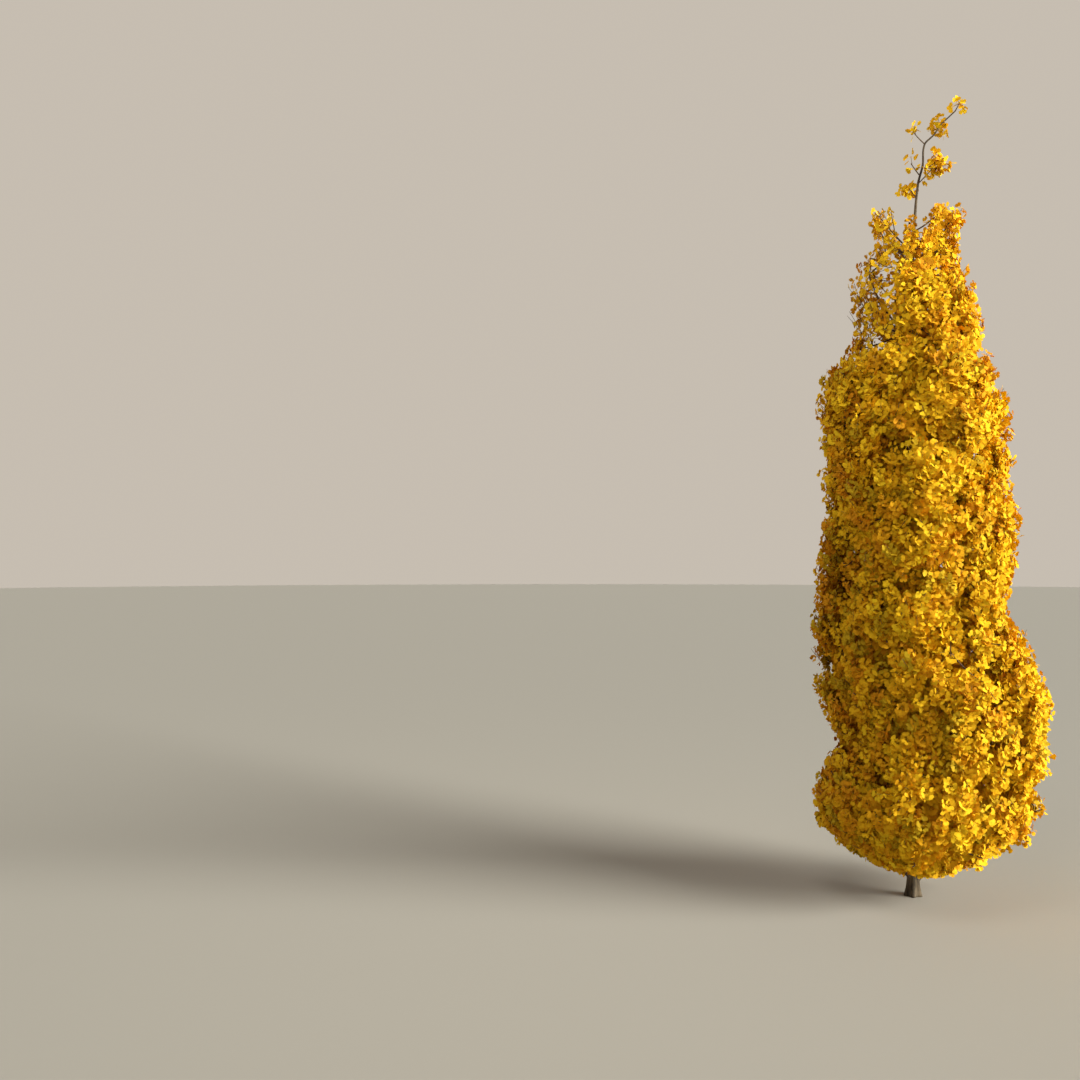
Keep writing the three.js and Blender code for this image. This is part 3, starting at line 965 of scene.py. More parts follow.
@dataclass
class Boughs:
    """The ascending boughs, each from inside the trunk to the inner side of its mass."""

    masses: list[Mass]
    sides: int = 18
    rings: int = 26
    ridges: int = 8
    relief: float = 0.0009

    def build(self, finish: BarkFinish) -> bpy.types.Object:
        """Makes all boughs as one mesh and dresses it.

        Args:
            finish: their bark.

        Returns:
            The boughs.
        """
        share = np.linspace(0, 1, self.rings)
        points, faces, count = [], [], 0
        carried = [mass for mass in self.masses if mass.bough is not None]
        for number, mass in enumerate(carried):
            base = bough_radius(mass.height)
            radii = base * (1 + (BOUGH_TIP_SHARE - 1) * share)
            path = arc_points(*mass.bough, share)
            limb = BarkedLimb(path, radii, self.sides, self.ridges, self.relief, number)
            skin, corners = limb.surface()
            points.append(skin)
            faces += [tuple(corner + count for corner in face) for face in corners]
            count += len(skin)
        made = mesh_object("bough_bark", np.vstack(points), faces)
        outward_faces(made)
        made.data.materials.append(finish.material())
        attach(made, "root")
        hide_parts(*[mass.name.replace("foliage", "bough") for mass in carried])
        return made


@dataclass
class Lines:
    """Limbs that are only lines with a thickness so far."""

    points: list[np.ndarray] = field(default_factory=list)
    radii: list[np.ndarray] = field(default_factory=list)

    def add(self, points: np.ndarray, radii: np.ndarray) -> None:
        """Adds one limb's points and its radius at each."""
        self.points.append(points)
        self.radii.append(radii)

    def mesh(self, name: str) -> bpy.types.Mesh:
        """Joins the limbs into one mesh of edges that holds their thickness.

        Args:
            name: the mesh's name.

        Returns:
            The mesh.
        """
        starts = np.cumsum([0] + [len(line) for line in self.points])
        edges = [
            (start + k, start + k + 1)
            for start, line in zip(starts, self.points)
            for k in range(len(line) - 1)
        ]
        made = bpy.data.meshes.new(name)
        made.from_pydata(np.vstack(self.points).tolist(), edges, [])
        thickness = made.attributes.new("thickness", "FLOAT", "POINT")
        thickness.data.foreach_set("value", np.concatenate(self.radii).astype(np.float32))
        return made


def new_tree(name: str, inputs: dict[str, str]) -> bpy.types.NodeTree:
    """Starts a tree of geometry nodes.

    Args:
        name: the tree's name.
        inputs: the name and the socket type of each input beside the geometry.

    Returns:
        The tree, with its input and output nodes.
    """
    tree = bpy.data.node_groups.new(name, "GeometryNodeTree")
    tree.interface.new_socket("Geometry", in_out="INPUT", socket_type="NodeSocketGeometry")
    for label, kind in inputs.items():
        tree.interface.new_socket(label, in_out="INPUT", socket_type=kind)
    tree.interface.new_socket("Geometry", in_out="OUTPUT", socket_type="NodeSocketGeometry")
    tree.nodes.new("NodeGroupInput")
    tree.nodes.new("NodeGroupOutput")
    return tree


def end_tree(tree: bpy.types.NodeTree, shape: bpy.types.NodeSocket) -> None:
    """Ends a tree: smooth faces, instances realized, and the finish set.

    Args:
        tree: the tree, which has an input named Finish.
        shape: the geometry to end on.
    """
    start, end = tree.nodes["Group Input"], tree.nodes["Group Output"]
    smooth = add_node(tree, "GeometryNodeSetShadeSmooth", Geometry=shape, Shade_Smooth=True)
    real = add_node(tree, "GeometryNodeRealizeInstances", Geometry=smooth.outputs[0])
    dressed = add_node(
        tree, "GeometryNodeSetMaterial", Geometry=real.outputs[0], Material=start.outputs["Finish"]
    )
    tree.links.new(dressed.outputs[0], end.inputs[0])


def grown(
    name: str, base: bpy.types.Mesh, tree: bpy.types.NodeTree, values: dict[str, object]
) -> bpy.types.Object:
    """Runs a tree on a mesh and keeps the result as a plain mesh.

    Args:
        name: the object's name.
        base: what the tree works on.
        tree: the tree.
        values: the value of each named input.

    Returns:
        The object, in the scene, with no modifier left.
    """
    holder = new_object(name + "_base", base)
    nodes = holder.modifiers.new("growth", "NODES")
    nodes.node_group = tree
    sockets = {item.name: item.identifier for item in tree.interface.items_tree if item.in_out == "INPUT"}
    for label, value in values.items():
        nodes[sockets[label]] = value
    evaluated = holder.evaluated_get(bpy.context.evaluated_depsgraph_get())
    mesh = bpy.data.meshes.new_from_object(evaluated)
    mesh.name = name
    holder.modifiers.remove(nodes)
    bpy.data.objects.remove(holder)
    return new_object(name, mesh)


def limb_tree() -> bpy.types.NodeTree:
    """Builds the tree that gives lines their thickness, as round limbs with closed ends.

    Returns:
        The tree.
    """
    tree = new_tree("round_limbs", {"Sides": "NodeSocketInt", "Finish": "NodeSocketMaterial"})
    start = tree.nodes["Group Input"]
    lines = add_node(tree, "GeometryNodeMeshToCurve", Mesh=start.outputs["Geometry"])
    ring = add_node(tree, "GeometryNodeCurvePrimitiveCircle", Resolution=start.outputs["Sides"], Radius=1.0)
    thickness = add_node(tree, "GeometryNodeInputNamedAttribute", {"data_type": "FLOAT"}, Name="thickness")
    limbs = add_node(
        tree, "GeometryNodeCurveToMesh", Curve=lines.outputs[0], Profile_Curve=ring.outputs[0],
        Scale=thickness.outputs["Attribute"], Fill_Caps=True,
    )
    end_tree(tree, limbs.outputs[0])
    return tree


# The fan's edge: each point's share of the half angle, its distance from the blade's base, which is
# the leaf's own at the notch in the middle, and its share of the pleat
FAN_SHARES = np.array([-1, -0.62, -0.20, 0, 0.20, 0.62, 1])
FAN_LENGTHS = (0.80, 1.0, 0.98, None, 0.98, 1.0, 0.80)
FAN_PLEATS = np.array([0, 1, -1, 0, 1, -1, 0])
CUP_ALONG = 0.5


@dataclass
class LeafShape:
    """One form of the fan leaf on its stalk, a unit long from the blade's base to its furthest tip."""

    notch: float
    half_angle: float
    cup: float
    pleat: float
    stalk: float = 0.62
    stalk_width: float = 0.045

    def mesh(self, name: str) -> bpy.types.Object:
        """Makes the leaf: a stalk along +Y, then the fan, with its upper face to +Z.

        Args:
            name: the object's name.

        Returns:
            The leaf, which no view shows until it is copied.
        """
        lengths = np.array([self.notch if length is None else length for length in FAN_LENGTHS])
        angle = FAN_SHARES * self.half_angle
        x, y = np.sin(angle) * lengths, np.cos(angle) * lengths
        z = FAN_PLEATS * self.pleat - self.cup * (x**2 + CUP_ALONG * y**2)
        edge = np.stack([x, y + self.stalk, z], axis=-1)
        half = self.stalk_width / 2
        stalk = np.array([(-half, 0, 0), (half, 0, 0), (half, self.stalk, 0), (-half, self.stalk, 0)])
        base = np.array([(0, self.stalk, 0)])
        hub = len(stalk)
        fan = [(hub, hub + k + 2, hub + k + 1) for k in range(len(edge) - 1)]
        made = mesh_object(name, np.vstack([stalk, base, edge]), [tuple(range(hub)), *fan])
        bpy.context.scene.collection.objects.unlink(made)
        return made


LEAF_SHAPES = (
    LeafShape(0.74, math.radians(64), 0.16, 0.050),
    LeafShape(0.92, math.radians(58), 0.24, 0.035),
    LeafShape(0.60, math.radians(70), 0.06, 0.055),
    LeafShape(0.86, math.radians(62), -0.14, 0.040),
)


def leaf_tree() -> bpy.types.NodeTree:
    """Builds the tree that sets a leaf on each point, turned as the point says.

    The point's size is a share of the blade's length, which is an input.

    Returns:
        The tree.
    """
    tree = new_tree("leaves_on_spurs", {
        "Leaf Shapes": "NodeSocketCollection", "Blade Length": "NodeSocketFloat",
        "Finish": "NodeSocketMaterial",
    })
    start = tree.nodes["Group Input"]
    shapes = add_node(
        tree, "GeometryNodeCollectionInfo", Collection=start.outputs["Leaf Shapes"], Separate_Children=True,
    )
    read = {}
    for name, kind in (("shape", "INT"), ("turn", "QUATERNION"), ("size", "FLOAT")):
        attribute = add_node(tree, "GeometryNodeInputNamedAttribute", {"data_type": kind}, Name=name)
        read[name] = attribute.outputs["Attribute"]
    length = add_node(tree, "ShaderNodeMath", {"operation": "MULTIPLY"})
    tree.links.new(read["size"], length.inputs[0])
    tree.links.new(start.outputs["Blade Length"], length.inputs[1])
    leaves = add_node(
        tree, "GeometryNodeInstanceOnPoints", Points=start.outputs["Geometry"], Instance=shapes.outputs[0],
        Pick_Instance=True, Instance_Index=read["shape"], Rotation=read["turn"], Scale=length.outputs[0],
    )
    end_tree(tree, leaves.outputs[0])
    return tree


def quaternions(across: np.ndarray, along: np.ndarray, face: np.ndarray) -> np.ndarray:
    """Turns three axes into a quaternion, row by row.

    Args:
        across: where each leaf's own X points.
        along: where its Y points.
        face: where its Z points.

    Returns:
        Rows of w, x, y and z.
    """
    m = np.stack([across, along, face], axis=-1)
    w = np.sqrt(np.maximum(0, 1 + m[:, 0, 0] + m[:, 1, 1] + m[:, 2, 2])) / 2
    x = np.sqrt(np.maximum(0, 1 + m[:, 0, 0] - m[:, 1, 1] - m[:, 2, 2])) / 2
    y = np.sqrt(np.maximum(0, 1 - m[:, 0, 0] + m[:, 1, 1] - m[:, 2, 2])) / 2
    z = np.sqrt(np.maximum(0, 1 - m[:, 0, 0] - m[:, 1, 1] + m[:, 2, 2])) / 2
    x = np.copysign(x, m[:, 2, 1] - m[:, 1, 2])
    y = np.copysign(y, m[:, 0, 2] - m[:, 2, 0])
    z = np.copysign(z, m[:, 1, 0] - m[:, 0, 1])
    return unit(np.stack([w, x, y, z], axis=-1))


@dataclass(frozen=True)
class Order:
    """One order of growth in a mass, from its twigs outward.

    Its tips lie in layers under the outline, and its limbs start below their tips, so that they rise.
    """

    depths: tuple[float, ...]
    spacing: float
    stray: float
    radii: tuple[float, float]
    points: int
    bow: float
    rise: float
    bare: float


# The two orders of growth that are finer than the solids' twigs
SIDE_TWIGS = Order(
    depths=(0.100, 0.200), spacing=0.122, stray=0.046, radii=(0.0032, 0.0019), points=6, bow=0.12,
    rise=0.100, bare=0.50,
)
SHOOTS = Order(
    depths=(0.056, 0.094, 0.140, 0.200, 0.275), spacing=0.051, stray=0.029, radii=(0.0018, 0.0011),
    points=4, bow=0.16, rise=0.080, bare=0.18,
)

# The tints of sprays: how often each comes, and how much more often high up and low on the narrow side,
# where the darker tints are painted shade
TINT_WEIGHTS = {
    Tint.LEMON: (0.22, -0.08, -0.14),
    Tint.YELLOW: (0.32, 0.0, -0.10),
    Tint.GOLD: (0.28, 0.0, 0.0),
    Tint.AMBER: (0.10, 0.12, 0.14),
    Tint.ORANGE: (0.02, 0.14, 0.08),
    Tint.OLIVE: (0.06, 0.0, 0.08),
}
# Painted light: the leader's sprays take only the lightest tints, so that they look lit through by the sun
LEADER_PAINTED_LIGHT_TINTS = (Tint.YELLOW, Tint.LEMON, Tint.LEMON, Tint.GOLD)
HIGH_FROM, HIGH_SPAN = 2.4, 1.2
# Painted shade: below this height, over this span, and on the narrow side, the darker tints come more often
PAINTED_SHADE_BELOW, PAINTED_SHADE_SPAN = 3.0, 1.5
NARROW_SPAN, NARROW_LEAD = 0.5, 0.6


@dataclass
class Shoot:
    """One limb that carries leaves: its points, its bare share at the foot, and its spray's tint."""

    mass: Mass
    points: np.ndarray
    bare: float
    tint: Tint


@dataclass
class Growth:
    """The seeded rule that grows stems, twigs and finer shoots in every mass."""

    plan: CrownPlan
    # Stems and twigs
    stem_points: int = 8
    stem_starts: int = 3
    stem_bare: float = 0.1
    twig_points: int = 7
    twig_radii: tuple[float, float] = (0.0044, 0.0028)
    twig_bow: float = 0.10
    bow_stray: float = 0.4
    sag_clear: float = 0.03
    spray_bare: tuple[float, float] = (0.3, 0.2)
    # Where finer limbs start, and the layers that they fill
    start_shares: tuple[float, float] = (0.22, 0.92)
    start_count: int = 9
    climb_cost: float = 1.6
    tries: int = 1600
    layer_thinning: float = 0.34
    overlap: float = 0.012
    least_length: float = 0.05
    open_crown: float = 1.4
    full_reach: float = 0.40
    loose_reach: float = 0.040
    missing_shoots: float = 0.92
    # Short spurs on the trunk itself
    trunk_spurs_from: tuple[float, float] = (0.26, 3.12)
    trunk_spur_rise: float = 0.011
    trunk_spur: tuple[float, float] = (0.016, 0.034)
    trunk_spur_lift: float = 0.5
    trunk_spur_depth: float = 0.8
    trunk_spur_bare: float = 0.5
    # How many sides the limbs have, and all that has grown
    limb_sides: int = 7
    shoot_sides: int = 3
    limbs: Lines = field(default_factory=Lines)
    fine: Lines = field(default_factory=Lines)
    shoots: list[Shoot] = field(default_factory=list)

    def grow(self) -> None:
        """Grows every mass in turn."""
        for index, mass in enumerate(self.plan.masses):
            random = np.random.default_rng(MASS_SEED + index)
            draws = Draws(MASS_SEED + index * MASS_SEED_STEP)
            for _ in range(CORE_CORNERS if mass.dense else 0):
                draws.next()
            starts = self.grow_twigs(mass, draws, random)
            if mass.spray:
                continue
            starts, tips, vigour = self.grow_order(mass, SIDE_TWIGS, starts, None, None, random)
            self.grow_order(mass, SHOOTS, starts, tips, vigour, random)
            for limb in (mass.stem, mass.bough):
                if limb is not None:
                    along = arc_points(*limb, np.linspace(0, 1, self.stem_points))
                    tint = self.tint_at(along[-1], random)
                    self.shoots.append(Shoot(mass, along, self.stem_bare, tint))
        self.grow_trunk_spurs()

    def grow_trunk_spurs(self) -> None:
        """Sets short spurs round the trunk inside the crown, each a golden angle on from the last."""
        random = np.random.default_rng(MASS_SEED)
        carrier = self.plan.masses[0]
        for number, height in enumerate(np.arange(*self.trunk_spurs_from, self.trunk_spur_rise)):
            turn = number * GOLDEN_ANGLE
            way = np.array([math.cos(turn), math.sin(turn), self.trunk_spur_lift])
            foot = axis_at(height) + way * float(through(TRUNK_RADIUS, height)) * self.trunk_spur_depth
            points = foot + way * np.array([[0.0], [random.uniform(*self.trunk_spur)]])
            self.fine.add(points, np.array(SHOOTS.radii))
            tint = self.tint_at(points[-1], random)
            self.shoots.append(Shoot(carrier, points, self.trunk_spur_bare, tint))

    def directions(self, count: int) -> np.ndarray:
        """Spreads directions evenly.

        Args:
            count: how many.

        Returns:
            A row for each.
        """
        k = np.arange(count)
        lift = 1 - 2 * (k * EVEN_STEPS[0] % 1)
        turn = 2 * math.pi * (k * EVEN_STEPS[1] % 1)
        ring = np.sqrt(1 - lift**2)
        return np.stack([ring * np.cos(turn), ring * np.sin(turn), lift], axis=-1)

    def kept_tips(
        self, mass: Mass, tips: np.ndarray, room: float, fits: np.ndarray, spacing: float
    ) -> np.ndarray:
        """Picks tips that lie in the mass's space and apart from each other.

        Args:
            mass: the mass.
            tips: a row for each.
            room: the least room to the sides of the mass's space.
            fits: which of them may be picked.
            spacing: the least distance between two.

        Returns:
            The numbers of the tips that are picked.
        """
        low, high = np.array(CAD_BOX[0]), np.array(CAD_BOX[1])
        fits = fits & (mass.cell_room(tips) > room) & (tips[:, 2] > TIP_GROUND_CLEAR)
        fits &= (tips > low).all(axis=1) & (tips < high).all(axis=1) & mass.below_top(tips)
        kept: list[int] = []
        for number in np.flatnonzero(fits):
            away = tips[kept] - tips[number]
            if not kept or (away**2).sum(axis=1).min() > spacing**2:
                kept.append(int(number))
        return np.array(kept, int)

    def grow_twigs(self, mass: Mass, draws: Draws, random: np.random.Generator) -> np.ndarray:
        """Grows a mass's stem, and its twigs where its solid has them.

        Args:
            mass: the mass.
            draws: the solids' random numbers for this mass.
            random: the mass's own random numbers.

        Returns:
            Points along the stem and twigs that finer growth can start from.
        """
        share = np.linspace(0, 1, self.stem_points)
        stem = arc_points(*mass.stem, share)
        end = SPRAY_STEM_RADII[1] if mass.spray else STEM_TIP_RADIUS
        self.limbs.add(stem, mass.base_radius + (end - mass.base_radius) * share)
        directions = self.directions(TWIG_TRIES)
        length = mass.march(directions, np.full(TWIG_TRIES, mass.leaf * LEAF_ROOM_SHARE))
        tips = mass.site + directions * length[:, None]
        long_enough = length > mass.leaf * TIP_LEAST_SHARE
        kept = self.kept_tips(mass, tips, mass.leaf * TIP_CLEAR_SHARE, long_enough, mass.spacing)
        low, high = SPRAY_TWIG_FROM if mass.spray else TWIG_FROM
        starts = [stem[self.stem_starts :]]
        if mass.spray:
            self.shoots.append(Shoot(mass, stem, self.spray_bare[0], self.tint_at(mass.site, random)))
        for tip in tips[kept]:
            foot = arc_points(*mass.stem, np.array([low + (high - low) * draws.next()]))[0]
            for _ in range(LEAVES_PER_TWIG + 1):
                draws.next()
            points = self.bowed(mass, foot, tip, self.twig_points, self.twig_bow, random)
            radii = SHOOTS.radii if mass.spray else self.twig_radii
            lines = self.fine if mass.spray else self.limbs
            lines.add(points, np.linspace(*radii, self.twig_points))
            bare = self.spray_bare[1] if mass.spray else SIDE_TWIGS.bare
            self.shoots.append(Shoot(mass, points, bare, self.tint_at(tip, random)))
            starts.append(self.start_points(points))
        return np.vstack(starts)

    def start_points(self, points: np.ndarray) -> np.ndarray:
        """Gives the places on the outer part of a limb where others can start.

        Args:
            points: the limb's points.

        Returns:
            A row for each place.
        """
        share = np.linspace(*self.start_shares, self.start_count)
        return places_on(points, np.linspace(0, 1, len(points)), share)

    def bowed(
        self, mass: Mass, foot: np.ndarray, tip: np.ndarray, count: int, bow: float,
        random: np.random.Generator,
    ) -> np.ndarray:
        """Bends a limb: it leaves sideways and turns up, as the tree's upright habit asks.

        Args:
            mass: the mass that it grows in.
            foot: where it starts.
            tip: where it ends.
            count: how many points it has.
            bow: how far it bends, as a share of its length.
            random: the mass's random numbers.

        Returns:
            Its points.
        """
        aside = random.normal(size=3) * self.bow_stray - np.array([0, 0, 1])
        middle = (foot + tip) / 2
        bend = middle + aside * bow * np.linalg.norm(tip - foot)
        if mass.outline_room(bend) < self.sag_clear:
            bend = middle
        return arc_points(foot, bend, tip, np.linspace(0, 1, count))

    def grow_order(
        self,
        mass: Mass,
        order: Order,
        starts: np.ndarray,
        carriers: np.ndarray | None,
        vigour: np.ndarray | None,
        random: np.random.Generator,
    ) -> tuple[np.ndarray, np.ndarray, np.ndarray]:
        """Grows one order of limbs in layers below the outline.

        Args:
            mass: the mass.
            order: which order.
            starts: points on the limbs of the order before.
            carriers: the tips of the order before, if it has a say in how far this one stands out.
            vigour: how much deeper than its layer each of those tips lies.
            random: the mass's random numbers.

        Returns:
            Points that the next order can start from, this order's tips, and how much deeper than
            its layer each lies.
        """
        directions = self.directions(self.tries)
        thinner = 1.0 if mass.dense else self.open_crown
        slimmer = min(1.0, mass.reach / self.full_reach)
        new_starts, all_tips, all_extra = [starts], [], []
        for layer, layer_depth in enumerate(order.depths if mass.dense else order.depths[:-1]):
            depth = layer_depth * slimmer
            length = mass.march(directions, np.full(self.tries, depth), LUMP_MOST)
            rough = mass.site + directions * length[:, None]
            extra = order.stray * random.uniform(-1, 1, self.tries)
            if carriers is not None:
                nearest = np.linalg.norm(rough[:, None] - carriers[None], axis=2).argmin(axis=1)
                extra += vigour[nearest]
            extra += mass.hollow(rough) - self.loose_reach * mass.looseness(rough)
            extra *= slimmer
            length = mass.march(directions, depth + extra, LUMP_MOST)
            tips = mass.site + directions * length[:, None]
            spacing = order.spacing * thinner * (1 + self.layer_thinning * layer)
            there = length > self.least_length
            there &= random.uniform(0, 1, self.tries) >= self.missing_shoots * mass.looseness(tips)
            kept = self.kept_tips(mass, tips, -self.overlap, there, spacing)
            for tip in tips[kept]:
                away = np.linalg.norm(starts - tip, axis=1)
                too_high = np.maximum(0, starts[:, 2] - tip[2] + order.rise)
                foot = starts[np.argmin(away + self.climb_cost * too_high)]
                points = self.bowed(mass, foot, tip, order.points, order.bow, random)
                self.fine.add(points, np.linspace(*order.radii, order.points))
                self.shoots.append(Shoot(mass, points, order.bare, self.tint_at(tip, random)))
                new_starts.append(self.start_points(points))
            all_tips.append(tips[kept])
            all_extra.append(extra[kept])
        return np.vstack(new_starts), np.vstack(all_tips), np.concatenate(all_extra)

    def tint_at(self, point: np.ndarray, random: np.random.Generator) -> Tint:
        """Deals a spray its tint.

        Args:
            point: where the spray ends.
            random: the mass's random numbers.

        Returns:
            The tint: more orange towards the top; more amber, orange and olive and less lemon and yellow
                low down on the narrow side, as painted shade; only the lightest on the leader's sprays, as
                painted light.
        """
        # Painted light: the leader's sprays get only the lightest tints
        if point[2] > CROWN_TOP:
            return LEADER_PAINTED_LIGHT_TINTS[random.integers(len(LEADER_PAINTED_LIGHT_TINTS))]
        high = np.clip((point[2] - HIGH_FROM) / HIGH_SPAN, 0, 1)
        narrow = -(point[0] * math.cos(WIDE_SIDE) + point[1] * math.sin(WIDE_SIDE)) / NARROW_SPAN
        # Painted shade: how far the point lies low down on the narrow side, where the darker tints are
        # dealt
        low = np.clip((PAINTED_SHADE_BELOW - point[2]) / PAINTED_SHADE_SPAN, 0, 1) * np.clip(narrow + NARROW_LEAD, 0, 1)
        share = np.array([
            plain + more_high * high + more_in_painted_shade * low
            for plain, more_high, more_in_painted_shade in TINT_WEIGHTS.values()
        ])
        return list(TINT_WEIGHTS)[random.choice(len(share), p=share / share.sum())]

    def dress(self, finish: BarkFinish) -> None:
        """Makes the grown lines into round limbs.

        Args:
            finish: their bark.
        """
        tree = limb_tree()
        names = [mass.name for mass in self.plan.masses]
        for name, lines, sides in (
            ("stems_and_twigs", self.limbs, self.limb_sides),
            ("young_shoots", self.fine, self.shoot_sides),
        ):
            made = grown(name, lines.mesh(name), tree, {"Sides": sides, "Finish": finish.material()})
            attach(made, "root")
            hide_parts(*names)
            LOG.info("%s: %d limbs, %d faces", name, len(lines.points), len(made.data.polygons))


@dataclass
class Leaves:
    """Where all leaves grow, and how each is turned, sized and tinted."""

    root: np.ndarray
    across: np.ndarray
    along: np.ndarray
    face: np.ndarray
    size: np.ndarray
    shape: np.ndarray
    tint: np.ndarray

    def picked(self, chosen: np.ndarray) -> "Leaves":
        """Keeps the leaves that a mask chooses."""
        return Leaves(*(getattr(self, column.name)[chosen] for column in fields(self)))


# Where a leaf's edge is tested, across it and out from the blade's base, in lengths of the blade
LEAF_CORNERS = ((0, 1), (-0.85, 0.5), (0.85, 0.5))


@dataclass
class Foliage:
    """The fan leaves, in rosettes on short spurs along every shoot."""

    shoots: list[Shoot]
    seed: int = 77
    # Spurs: how far apart along a shoot, how they point, and how many are bare where the edge is loose
    spur_step: float = 0.0225
    spray_spur_step: float = 0.022
    spur_stray: float = 0.6
    upward: float = 0.25
    scatter: float = 0.32
    bare_spurs: float = 0.84
    # Leaves: how many on a spur, the length of the blade, and how each is turned
    rosette: tuple[int, int] = (4, 6)
    blade: tuple[float, float] = (0.0172, 0.0265)
    spray_growth: float = 1.15
    turn_stray: float = 0.25
    lean: tuple[float, float] = (math.radians(44), math.radians(100))
    roll: float = 0.46
    droop: float = 0.20
    # How far leaves stand out of the outline and the solids' box, and how clear of the trunk they are
    proud: float = 0.034
    box_proud: float = 0.030
    trunk_clear: float = 0.006
    # The most leaves that one piece holds, so that it stays under 200,000 triangles
    most: int = 24_000

    def rosettes(self, random: np.random.Generator) -> tuple[np.ndarray, np.ndarray, np.ndarray]:
        """Places the spurs along the shoots.

        Args:
            random: random numbers.

        Returns:
            Each spur's place, where it points, and the number of its shoot.
        """
        places, ways, owners = [], [], []
        for number, shoot in enumerate(self.shoots):
            run = np.linalg.norm(np.diff(shoot.points, axis=0), axis=1)
            step = self.spur_step
            if shoot.mass.spray:
                step = self.spray_spur_step / shoot.mass.fullness
            count = max(1, round(run.sum() * (1 - shoot.bare) / step))
            stray = random.uniform(0, self.spur_stray, count)
            share = 1 - (np.arange(count) + stray) / count * (1 - shoot.bare)
            at = np.concatenate([[0], np.cumsum(run)]) / run.sum()
            place = places_on(shoot.points, at, share)
            hub = shoot.mass.start if shoot.mass.spray else axis_at(place[:, 2])
            way = unit(place - hub) + np.array([0, 0, 0 if shoot.mass.spray else self.upward])
            way = unit(way + self.scatter * random.normal(size=place.shape))
            if not shoot.mass.spray:
                leafy = random.uniform(0, 1, count) >= self.bare_spurs * shoot.mass.looseness(place)
                leafy[0] = True
                place, way = place[leafy], way[leafy]
            places.append(place)
            ways.append(way)
            owners += [number] * len(place)
        return np.vstack(places), np.vstack(ways), np.array(owners)

    def arrange(self) -> Leaves:
        """Places every leaf of every rosette, and drops those that leave the crown.

        Returns:
            The leaves.
        """
        random = np.random.default_rng(self.seed)
        places, ways, owners = self.rosettes(random)
        number = random.integers(self.rosette[0], self.rosette[1] + 1, len(places))
        rosette = np.repeat(np.arange(len(places)), number)
        count = len(rosette)
        order = np.concatenate([np.arange(n) / n for n in number])
        turn = 2 * math.pi * (order + random.uniform(0, 1, len(places))[rosette])
        turn = (turn + random.normal(0, self.turn_stray, count))[:, None]
        way = ways[rosette]
        level = unit(np.cross(way, np.array([0.0, 0.0, 1.0])))
        aside = level * np.cos(turn) + np.cross(level, way) * np.sin(turn)
        lean = random.uniform(*self.lean, count)[:, None]
        along = unit(way * np.cos(lean) + aside * np.sin(lean) - np.array([0, 0, self.droop]))
        face = unit(way - along * (way * along).sum(axis=1, keepdims=True))
        across = np.cross(along, face)
        roll = random.normal(0, self.roll, count)[:, None]
        face, across = (
            face * np.cos(roll) + across * np.sin(roll),
            across * np.cos(roll) - face * np.sin(roll),
        )
        tint = np.array([list(Tint).index(shoot.tint) for shoot in self.shoots])
        on_spray = np.array([shoot.mass.spray for shoot in self.shoots])[owners[rosette]]
        size = random.uniform(*self.blade, count) * np.where(on_spray, self.spray_growth, 1)
        leaves = Leaves(
            places[rosette], across, along, face, size,
            random.integers(0, len(LEAF_SHAPES), count), tint[owners[rosette]],
        )
        return leaves.picked(self.fitting(leaves, owners[rosette]))

    def fitting(self, leaves: Leaves, owners: np.ndarray) -> np.ndarray:
        """Finds the leaves that keep within the crown and clear of the trunk and the ground.

        Args:
            leaves: all leaves.
            owners: the number of each leaf's shoot.

        Returns:
            Whether each fits.
        """
        low, high = np.array(CAD_BOX[0]) - self.box_proud, np.array(CAD_BOX[1]) + self.box_proud
        fits = np.ones(len(owners), bool)
        names = np.array([shoot.mass.name for shoot in self.shoots])[owners]
        sprays = np.array([shoot.mass.spray for shoot in self.shoots])[owners]
        masses = {shoot.mass.name: shoot.mass for shoot in self.shoots}
        stalk = LEAF_SHAPES[0].stalk
        gap_from, gap_full = LEADER_GAP_FROM
        for side, out in LEAF_CORNERS:
            edge = leaves.across * side + leaves.along * (out + stalk)
            corner = leaves.root + edge * leaves.size[:, None]
            fits &= (corner > low).all(axis=1) & (corner < high).all(axis=1)
            fits &= corner[:, 2] > GROUND_CLEAR
            away = np.linalg.norm(corner - axis_at(corner[:, 2]), axis=1)
            fits &= away > through(TRUNK_RADIUS, corner[:, 2]) + self.trunk_clear
            open_share = np.clip((corner[:, 2] - gap_from) / (gap_full - gap_from), 0, 1)
            fits &= sprays | (away > LEADER_GAP * open_share)
            for name, mass in masses.items():
                mine = names == name
                fits[mine] &= mass.outline_room(corner[mine], LUMP_MOST) > -self.proud
                fits[mine] &= mass.below_top(corner[mine], CROWN_TOP_LEAF)
        return fits

